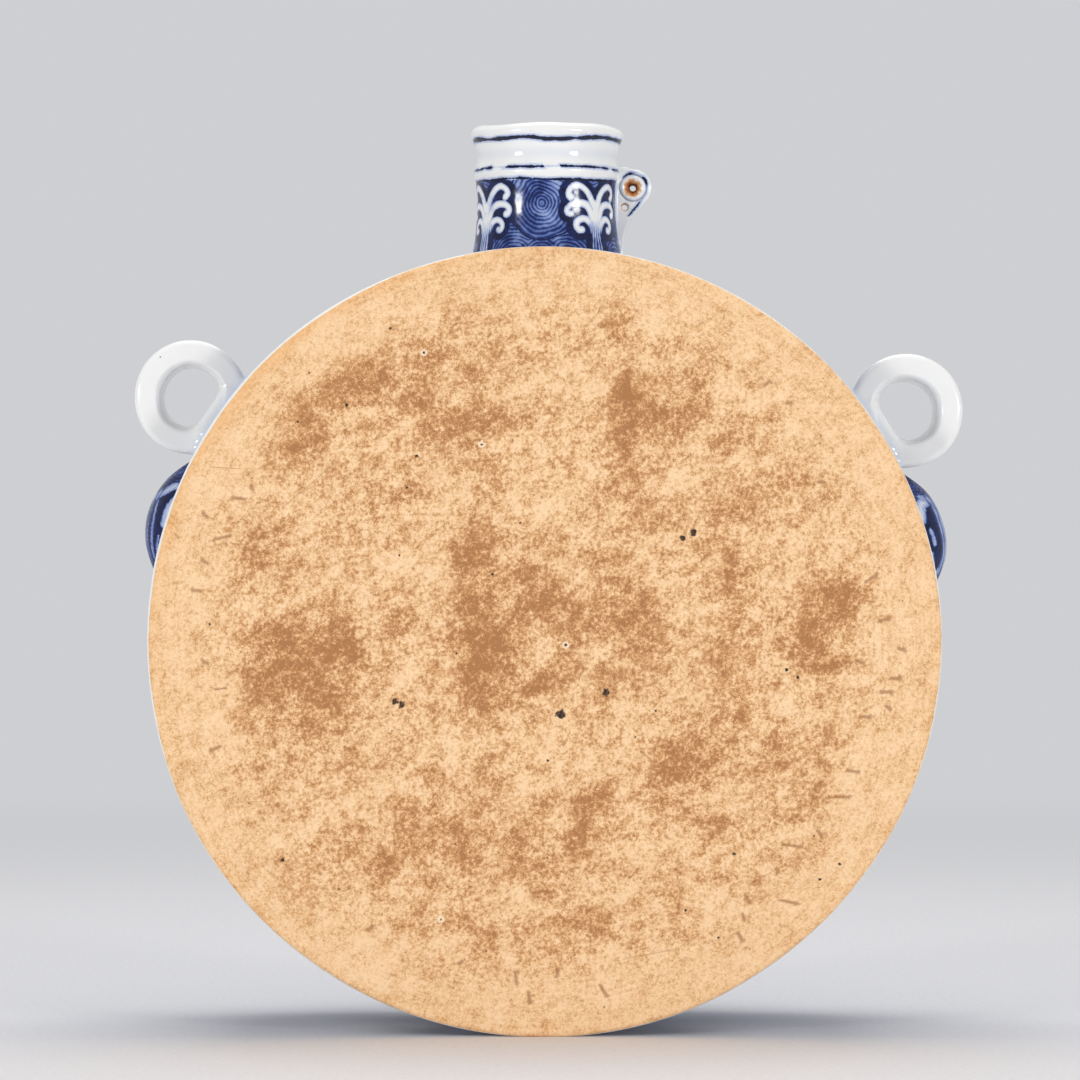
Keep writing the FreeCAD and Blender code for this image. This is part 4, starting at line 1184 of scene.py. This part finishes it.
# Angles round the neck, in degrees from the back towards +X
NECK_SPRAYS = (-148.0, -59.2, 42.7, 132.0)
NECK_WHORLS = (-104.0, -5.0, 87.5, 178.0)
NECK_FOOT = 400.0
NECK_STEM = (402, 414)
WHORL_Z = 421.2
WHORL_REACH = 18.5
# Waves below the whorls: their height, and their places to each side of a whorl
WASH_Z = 394
WASH_SIDES = (-14.0, 0.0, 14.0)
# Where the neck's foot flares out over the wall
FLARE_Z = 399


def joint_line(points):
    """Distance outside the broken dark line that runs over the joint of the neck and the collar."""
    drift = 0.3 * sway(points, 30, 18)
    width = 0.62 * (1 + 0.3 * sway(points, 7, 19)) - 1.2 * smooth(0.75, 1.15, sway(points, 13, 21))
    return np.abs(points[:, 2] - JOINT_Z + 1.1 - drift) - width


def neck_paint(points, outside):
    """Painting of the neck: sprays and whorls below the white ridge."""
    z = points[:, 2]
    bent = np.arctan2(points[:, 0] - NECK_X, -points[:, 1]) + 0.7 / NECK_TOP_RADIUS * sway(points, 24, 11)
    bent_z = z + 0.5 * sway(points, 20, 12)
    spray = np.full(len(points), SPRAY_FAR)
    foot = streak = np.zeros(len(points))
    for middle in NECK_SPRAYS:
        u = np.radians(angle_from(bent, middle)) * NECK_TOP_RADIUS
        near = spray_distance(u, bent_z - NECK_FOOT, 1.0)
        stem = (1 - smooth(4.2, 6.5, np.abs(u))) * (1 - smooth(*NECK_STEM, z))
        foot = np.where(near < spray, stem, foot)
        streak = np.where(near < spray, u * (1 + 0.02 * (bent_z - NECK_FOOT)), streak)
        spray = np.minimum(spray, near)
    whorl = wash = np.full(len(points), np.inf)
    whorl_sway, whorl_z = 0.45 * sway(points, 16, 17), bent_z - WHORL_Z + 0.45 * sway(points, 18, 18)
    for middle in NECK_WHORLS:
        u = np.radians(angle_from(bent, middle)) * NECK_TOP_RADIUS
        whorl = np.minimum(whorl, np.hypot(u + whorl_sway, whorl_z))
        for side in WASH_SIDES:
            wash = np.minimum(wash, np.hypot(u - side, bent_z - WASH_Z))
    reach = WHORL_REACH + 0.6 * sway(points, 14, 13)
    top = RIDGE_FOOT_Z + 0.35 * sway(points, 30, 14)
    lines = line_distance(z, [RIDGE_FOOT_Z - 0.4], 0.55, points, 15)
    return {
        "wave": np.where(whorl < reach, 1.15 * whorl - 0.012 * whorl ** 2, wash),
        "streak": streak,
        "spray": spray,
        "navy": np.maximum(1 - smooth(1.8, 4.6, spray), hump(whorl, reach, 0.8)),
        "foot": foot,
        "ground": outside * (1 - smooth(top - 0.7, top, z)),
        "line": np.where(outside, np.minimum(lines, joint_line(points)), FAR),
    }


def neck(finish):
    """Short neck with a hollow outline and a ridge at its top."""
    outline = Outline(NECK_ROOT_RADIUS, NECK_FOOT_Z).to(NECK_ROOT_RADIUS, NECK_ROOT_TOP, 26)
    outline.to(NECK_TOP_RADIUS, RIDGE_FOOT_Z, 66, NECK_HOLLOW).to(JOINT_RADIUS, JOINT_Z, 16, -0.75)
    outline.to(BORE_RADIUS, JOINT_Z, 4).to(BORE_RADIUS, NECK_FOOT_Z, 14)
    outline.to(NECK_ROOT_RADIUS, NECK_FOOT_Z, 4)
    radius, level, angle, faces = lathe(outline, count=560, closed=True)
    outside = radius > BORE_RADIUS + 5
    round_place = np.stack([np.cos(angle) * 36, np.sin(angle) * 36, level], 1)
    uneven = 0.22 * sway(round_place, 45, 16) * smooth(JOINT_Z, JOINT_Z - 6, level)
    flare = 0.6 * np.exp(-np.maximum(level - FLARE_Z, 0) / 1.6)
    points = neck_points(radius + outside * (uneven + flare), level, angle)
    add_piece(new_mesh("neck_glazed", points, faces), finish, ["neck"], neck_paint(points, outside))


def mouth_collar(finish):
    """Waisted white collar with a rolled lip and a painted line under it."""
    crest = BORE_RADIUS + MOUTH_ROUND
    outline = Outline(JOINT_RADIUS, JOINT_Z).to(LIP_FOOT_RADIUS, LIP_FOOT_Z, 40, 1.5)
    outline.to(crest, MOUTH_Z, 22, -1.9).round((crest, MOUTH_Z - MOUTH_ROUND), MOUTH_ROUND, 90, 180, 14)
    outline.to(BORE_RADIUS, JOINT_Z, 8).to(JOINT_RADIUS, JOINT_Z, 4)
    radius, level, angle, faces = lathe(outline, count=420, closed=True)
    lift = smooth(JOINT_Z, MOUTH_Z, level)
    round_place = np.stack([np.cos(angle) * 36, np.sin(angle) * 36, level * 0.3], 1)
    uneven = 0.3 * sway(round_place, 50, 31) * lift
    wavy = 0.55 * sway(round_place, 42, 32) * lift - 0.2 * lift
    points = neck_points(radius + uneven, level + wavy, angle)
    dip = 1.1 * hump(angle_from(angle, 2), 0, 22) - 0.5 * hump(angle_from(angle, 42), 0, 25)
    upper = line_distance(level + dip, [LIP_FOOT_Z - 0.9], 0.85, points, 33)
    outside = radius > crest - 1
    add_piece(new_mesh("mouth_collar_glazed", points, faces), finish, ["mouth_collar"], {
        "line": np.where(outside, np.minimum(upper, joint_line(points)), FAR),
        # Pooled glaze and painted shade in the waist under the lip
        "pool": 0.5 * hump(level, JOINT_Z + 6, 7) * outside,
        "stain": 0,
    })


# The eyelet's rounded edge, and the width and depth of the funnel at each end of its hole
EYELET_ROUND = 1.5
FUNNEL_RADIUS = 5.1
FUNNEL_DEPTH = 3.2


def loop_eyelet(finish):
    """""Small thick tube of the cord loop, unglazed and rusty inside its hole, with painted shade deep in the
    bore.""
    """
    half, body = EYELET_HALF, EYELET_RADIUS - EYELET_ROUND
    edge, bottom = half - EYELET_ROUND, half - FUNNEL_DEPTH
    outline = Outline(EYELET_RADIUS, -edge).to(EYELET_RADIUS, edge, 18)
    outline.round((body, edge), EYELET_ROUND, 0, 90, 8).to(FUNNEL_RADIUS, half, 4)
    outline.to(EYELET_BORE, bottom, 14, -0.5).to(EYELET_BORE, -bottom, 14).to(FUNNEL_RADIUS, -half, 14, -0.5)
    outline.to(body, -half, 4).round((body, -edge), EYELET_ROUND, -90, 0, 8)
    radius, level, angle, faces = lathe(outline, count=120, closed=True)
    turned = np.stack([np.cos(angle), np.sin(angle)], 1)
    radius = radius + 0.18 * sway(turned * 6, 9, 41) * (radius > EYELET_BORE + 0.2)
    x = NECK_X + EYELET_REACH + radius * np.cos(angle)
    points = np.stack([x, level, EYELET_Z + radius * np.sin(angle)], 1)
    rusty = 0.9 - 0.55 * smooth(2.0, 5.6, radius + 1.2 * smooth(-0.3, 1, np.cos(angle - 0.4)))
    rusty = rusty * (1 - smooth(4.6, 5.4, radius))
    line = np.abs(radius - EYELET_RADIUS) + 0.4 + 0.9 * (np.cos(angle) < -0.6)
    add_piece(new_mesh("neck_loop_eyelet_glazed", points, faces), finish, ["neck_loop_eyelet"], {
        "line": line + 9 * (np.abs(level) < half - 1.6),
        # Pooled glaze and painted shade towards the outer edge, where the eyelet sits in the strap
        "pool": smooth(4.5, 6.5, radius) * 0.6,
        # Rust in the funnels, and painted shade darkening the bore
        "stain": rusty + 0.35 * (radius < EYELET_BORE + 0.3),
    })


STRAP_EDGE = 1.3
STRAP_HOLE_SPACE = 0.12
STRAP_CELL = 0.36
# Heights between which the tail of the strap comes closer to the neck, and grows narrow
TAIL_DRAW = (418, 400)
TAIL_NARROW = (416, 398)
STRAP_FILLET = 1.6
BEND_FILLET = 5.0
LEAN, DROP = math.cos(STRAP_SLOPE), math.sin(STRAP_SLOPE)
# How far forms reach under the surface that they stand on, and how deep their fillets start
ROOT = 1.0
SUNK = 0.05


def seated(form, ground, fillet):
    """A form joined to the ground by a fillet, with a root just under the ground's surface."""
    joined = smooth_min(form, ground + SUNK, fillet)
    joined = np.maximum(joined, form - 0.9 * fillet)
    return np.maximum(joined, -ROOT - ground)


def strap_field(points):
    """Field of the strap that bends round the eyelet and runs down the neck as a tail."""
    u, y, z = points[:, 0] - NECK_X, points[:, 1], points[:, 2]
    over, up = u - EYELET_REACH, z - EYELET_Z
    eye = np.hypot(over, up)
    slope = over * LEAN - up * DROP - STRAP_RADIUS
    top = z - STRAP_TOP
    chord = (over * (1 + DROP) + (up - STRAP_RADIUS) * LEAN) / math.hypot(LEAN, 1 + DROP)
    wedge = np.maximum(np.maximum(slope, top), chord)
    tail = np.maximum(u - TAIL_OUTSIDE + 0.5 * smooth(*TAIL_DRAW, z), top)
    outline = smooth_min(np.minimum(eye - STRAP_RADIUS, wedge), tail, BEND_FILLET)
    outline = np.maximum(outline, EYELET_RADIUS + STRAP_HOLE_SPACE - eye)
    gap_u, gap_z, gap = STRAP_GAP
    outline = np.maximum(outline, gap - np.hypot(u - gap_u, z - gap_z))
    narrow = STRAP_HALF - 1.6 * smooth(*TAIL_NARROW, z)
    strap = rounded_meet(outline, np.abs(y) - narrow, STRAP_EDGE)
    return seated(strap, np.minimum(np.hypot(u, y) - neck_radius(z), wall_distance(points)), STRAP_FILLET)


def loop_strap(finish):
    """White strap of the cord loop, with a blue line along its inner edge."""
    points, faces = surface_net(strap_field, strap_low - (3, 3, 3), strap_high + (2, 3, 3), STRAP_CELL)
    u, y, z = points[:, 0] - NECK_X, points[:, 1], points[:, 2]
    over, up = u - EYELET_REACH, z - EYELET_Z
    beside = np.where(over * DROP + up * LEAN > 0, np.hypot(over, up), over * LEAN - up * DROP)
    line = np.abs(beside - EYELET_RADIUS - 0.75) - 0.1 + 0.4 * sway(points, 8, 51)
    on_loop = (np.abs(y) > STRAP_HALF - 1.5) & (z > EYELET_Z - 15) & (over > -7.2)
    neck_side = np.abs(np.hypot(u, y) - neck_radius(z))
    gap_u, gap_z, _ = STRAP_GAP
    add_piece(new_mesh("neck_loop_strap_glazed", points, faces), finish, ["neck_loop_strap"], {
        "line": np.where(on_loop, line, FAR),
        # Painted shade, with pooled glaze, along the strap where it meets the neck
        "pool": 0.8 * (1 - smooth(0.3, 2.2, neck_side)),
        "stain": 0.5 * (1 - smooth(1.8, 2.6, np.hypot(u - gap_u, z - gap_z))),
    })


# Ring handles and lugs on the wall

RING_FILLET = 6.0
RING_CELL = 0.72
RING_MARGIN = 7.0
HOLE_SWELL = 4.2
PAD_SWELL = 2.2
PAD_FILLET = 4.0
PAD_EDGE = 2.5
RING_SEEDS = {"left": 61, "right": 62}
LUG_FILLET = 3.5
LUG_HOLE_EDGE = 1.6
LUG_CELL = 0.62
LUG_MARGIN = 5.0


def ring_field(side, points):
    """Field of a ring with the pad that makes its hole D-shaped."""
    place, out, along = ring_frame(side)
    low, high = node_box(f"{side}_ring_loop")
    half, outer = high[1], (high[2] - low[2]) / 2
    middle, thick = (outer + RING_HOLE) / 2, (outer - RING_HOLE) / 2
    up, beside = (points - place) @ out, (points - place) @ along
    reach = np.hypot(up, beside)
    turned = np.stack([up, beside], 1) / np.maximum(reach, 1)[:, None] * 22
    reach = reach + 0.35 * sway(turned, 40, RING_SEEDS[side])
    depth = np.abs(points[:, 1]) + 0.3 * sway(turned, 30, RING_SEEDS[side] + 4)
    ring = rounded_meet(np.abs(reach - middle) - thick, depth - half, RING_EDGE_ROUND)
    swell = 1 - np.sqrt(np.maximum(1 - np.clip(depth / half, 0, 1) ** 2.6, 0))
    ring = np.maximum(ring, RING_HOLE + HOLE_SWELL * swell - reach)
    pad = np.maximum(up + PAD_DROP + PAD_SWELL * swell, np.abs(beside) - PAD_HALF - 3)
    pad = rounded_meet(pad, depth - half, PAD_EDGE)
    return seated(smooth_min(ring, pad, PAD_FILLET), wall_distance(points), RING_FILLET)


def ring_handle(side, finish):
    """White ring handle on the shoulder, fixed to the wall with a flared foot."""
    low, high = node_box(f"{side}_ring_loop")
    field = functools.partial(ring_field, side)
    points, faces = surface_net(field, low - RING_MARGIN, high + RING_MARGIN, RING_CELL)
    nodes = [f"{side}_ring_loop", f"{side}_ring_pad"]
    # Pooled glaze and painted shade, greyer blue towards the wall
    pool = 1 - smooth(0, 9, wall_distance(points))
    layers = {"line": FAR, "pool": pool, "stain": 0}
    add_piece(new_mesh(f"{side}_ring_glazed", points, faces), finish, nodes, layers)


def lug_field(side, points):
    """Field of a lug, turned from its outline about its axis, with its cord hole."""
    axis_place, out, along = lug_frame(side)
    far, up = np.abs((points - axis_place) @ along), (points - axis_place) @ out
    reach = np.hypot(up, points[:, 1])
    long_arc = np.hypot(reach + LUG_SINK, far) - LUG_CURVE
    end_arc = np.hypot(reach, far - LUG_END_PLACE) - LUG_END
    form = np.where(far * LUG_SINK < (reach + LUG_SINK) * LUG_END_PLACE, long_arc, end_arc)
    joined = seated(form + 0.25 * sway(points, 34, 71), wall_distance(points), LUG_FILLET)
    hole = LUG_HOLE - np.hypot(up - LUG_HOLE_REACH, points[:, 1])
    return -smooth_min(-joined, -hole, LUG_HOLE_EDGE)


# White strokes on the lugs: places along the lug from its middle and inwards from its outline, half width
LUG_STROKES = {
    "left": [
        ([(8, 0.8), (-2, 1.4), (-14, 1.6), (-26, 1.6)], 0.75),
        ([(5, 3.4), (-3, 4.2), (-14, 4.6), (-23, 4.0)], 0.7),
        ([(-12, 8.2), (-18, 7.0), (-24, 5.4)], 0.6),
        ([(6.5, 1.2), (10, 3.4), (15, 7.2)], 2.0),
        ([(10, 12.5), (3, 11.4), (-5, 10.8)], 2.3),
    ],
    "right": [
        ([(15.5, 5.0), (13, 1.9), (4, 1.6), (-10, 1.6), (-20, 2.0), (-25, 4.0)], 1.7),
        ([(12.6, 5.4), (10.6, 8.2), (5.5, 10.8)], 2.7),
        ([(-1, 8.6), (-5, 7.6), (-10, 7.0)], 1.0),
        ([(-14, 8.6), (-21, 7.0)], 0.8),
    ],
}
LUG_WHORL = (22.5, 4.5)
LUG_WASH = 19.0
LUG_WASH_DEPTH = 16
LUG_SOFTNESS = 2.6
# Depth from the middle at which the lug's painting of strokes gives way to waves
LUG_FRONT = 2.2


def lug_paint(side, points):
    """Painting of a lug: a whorl at its top, then white strokes on navy."""
    axis_place, out, along = lug_frame(side)
    far, up = (points - axis_place) @ along, (points - axis_place) @ out
    y = points[:, 1]
    crest = np.sqrt(np.maximum(LUG_CURVE ** 2 - far ** 2, 0)) - LUG_SINK
    depth = crest - up + 0.35 * sway(points, 16, 81)
    place = far + 0.7 * sway(points, 14, 82)
    spray = np.full(len(points), FAR)
    for stroke, half in LUG_STROKES[side]:
        for stroke_place, stroke_depth in smooth_path(stroke, 12):
            spray = np.minimum(spray, np.hypot(place - stroke_place, depth - stroke_depth) - half)
    top, front = smooth(12, 15, place), smooth(1.5, 3.0, y + 0.6 * sway(points, 9, 83))
    whorl = np.hypot(place - LUG_WHORL[0], depth - LUG_WHORL[1])
    wash = np.hypot(fold(place, LUG_WASH, 0)[0], depth - LUG_WASH_DEPTH)
    return {
        "wave": np.where(y > LUG_FRONT, wash, np.where(place > 13.5, whorl, depth)),
        "spray": spray / LUG_SOFTNESS + FAR * smooth(0.5, 2.5, y),
        "navy": (0.9 - 0.45 * top) * (1 - front) + hump(y, LUG_FRONT, 1.2),
        "foot": 0.14 + 0.5 * (1 - smooth(2.5, 5.0, depth)),
        "streak": 1.2 * depth,
        "ground": smooth(0.2, 1.5, wall_distance(points)),
        "line": FAR,
    }


def side_lug(side, finish):
    """Rounded lug below a ring, pierced along the rim for a carrying cord."""
    low, high = node_box(f"{side}_side_lug")
    field = functools.partial(lug_field, side)
    points, faces = surface_net(field, low - LUG_MARGIN, high + LUG_MARGIN, LUG_CELL)
    mesh = new_mesh(f"{side}_lug_glazed", points, faces)
    add_piece(mesh, finish, [f"{side}_side_lug"], lug_paint(side, points))


# Camera, floor and light, in metres and watts

CAMERA_PLACE = (-0.002, -2.653, 0.2504)
CAMERA_LENS = 172.03
CAMERA_REACH = 100
FLOOR_HALF = 14.0
FLOOR_COLOURS = (srgb(226, 226, 228), srgb(231, 231, 233))
FLOOR_ROUGHNESS = 0.75
FLOOR_BUMP = 0.05
SOFTBOX_DISTANCE = 3.0
SOFTBOX_ANGLE = math.radians(46)
SOFTBOX_HEIGHT = 0.62
SOFTBOX_TARGET = (0, 0, 0.45)
SOFTBOX_SIZE = (0.48, 0.38)
SOFTBOX_POWER = 28
TOP_LAMP_PLACE = (0, 0.5, 2.4)
TOP_LAMP_TARGET = (0, 0, 0.25)
TOP_LAMP_SIZE = (1.8, 1.2)
TOP_LAMP_POWER = 25
BACKDROP = srgb(206, 207, 210)
AMBIENT = (0.47, 0.47, 0.48, 1.0)
# Distances, in millimetres, between which the floor fades into the backdrop's colour
FLOOR_FADE = (700.0, 2600.0)


def camera():
    """Camera level with the flask's middle, square to its back."""
    data = bpy.data.cameras.new("camera")
    data.lens = CAMERA_LENS
    data.clip_end = CAMERA_REACH
    view = new_object("camera", data)
    view.location = CAMERA_PLACE
    view.rotation_euler = (math.pi / 2, 0, 0)
    bpy.context.scene.camera = view


def floor():
    """Plain pale floor, which fades into the backdrop's colour away from the flask."""
    nodes = Nodes(bpy.data.materials.new("floor"))
    grain = nodes.noise(3)
    colour = nodes.mix(grain.step(-0.1, 0.1), *FLOOR_COLOURS)
    material = nodes.finish(colour, FLOOR_ROUGHNESS, grain, FLOOR_BUMP, LOW_SHINE)
    far = nodes.vector("LENGTH", nodes.place).step(*FLOOR_FADE)
    glow = nodes.add("ShaderNodeEmission", {"Color": BACKDROP})
    surface = nodes.output.links[0].from_socket
    mix = nodes.add("ShaderNodeMixShader", {0: nodes.seen() * far, 1: surface, 2: glow.outputs[0]})
    nodes.feed(nodes.output, mix.outputs[0])
    half = FLOOR_HALF / MM
    corners = [(-half, -half, 0), (half, -half, 0), (half, half, 0), (-half, half, 0)]
    mesh = new_mesh("floor", corners, [[0, 1, 2, 3]])
    mesh.materials.append(material)
    plane = new_object("floor", mesh)


def softbox(name, place, target, size, power):
    """Rectangular lamp that faces a target."""
    data = bpy.data.lights.new(name, "AREA")
    data.shape = "RECTANGLE"
    data.size, data.size_y = size
    data.energy = power
    lamp = new_object(name, data)
    lamp.location = place
    lamp.rotation_euler = (Vector(target) - Vector(place)).to_track_quat("-Z", "Y").to_euler()


def lights():
    """Two softboxes in front, one large lamp above and slightly behind, and a pale room."""
    across, depth = SOFTBOX_DISTANCE * math.sin(SOFTBOX_ANGLE), SOFTBOX_DISTANCE * math.cos(SOFTBOX_ANGLE)
    for name, side in (("softbox_left", -1), ("softbox_right", 1)):
        place = (side * across, -depth, SOFTBOX_HEIGHT)
        softbox(name, place, SOFTBOX_TARGET, SOFTBOX_SIZE, SOFTBOX_POWER)
    softbox("top_lamp", TOP_LAMP_PLACE, TOP_LAMP_TARGET, TOP_LAMP_SIZE, TOP_LAMP_POWER)
    world = bpy.data.worlds.new("room")
    bpy.context.scene.world = world
    nodes = Nodes(world, "ShaderNodeOutputWorld")
    room, backdrop = (nodes.add("ShaderNodeBackground", {"Color": colour}).outputs[0]
                      for colour in (AMBIENT, BACKDROP))
    mix = nodes.add("ShaderNodeMixShader", {0: nodes.seen(), 1: room, 2: backdrop})
    nodes.feed(nodes.output, mix.outputs[0])


BODY_WAVES = 3.1
NECK_WAVES = 1.83


def flask():
    """All pieces of the flask."""
    white = white_glaze(), "white_glaze"
    back_slab((biscuit(), "biscuit"))
    broad_waves = blue_and_white("blue_and_white_body", BODY_WAVES), "blue_and_white"
    for piece in (side_wall, front_dome, front_boss):
        piece(broad_waves)
    fine_waves = blue_and_white("blue_and_white_neck", NECK_WAVES), "blue_and_white"
    neck(fine_waves)
    for piece in (mouth_collar, loop_eyelet, loop_strap):
        piece(white)
    for side in ("left", "right"):
        ring_handle(side, white)
        side_lug(side, fine_waves)
    clay = inside_clay()
    for node in ("back_seam_coil", "dome_seam_coil"):
        frame["nodes"][node].material_slots[0].material = clay


camera()
floor()
lights()
flask()
bpy.context.scene.view_settings.view_transform = "Standard"
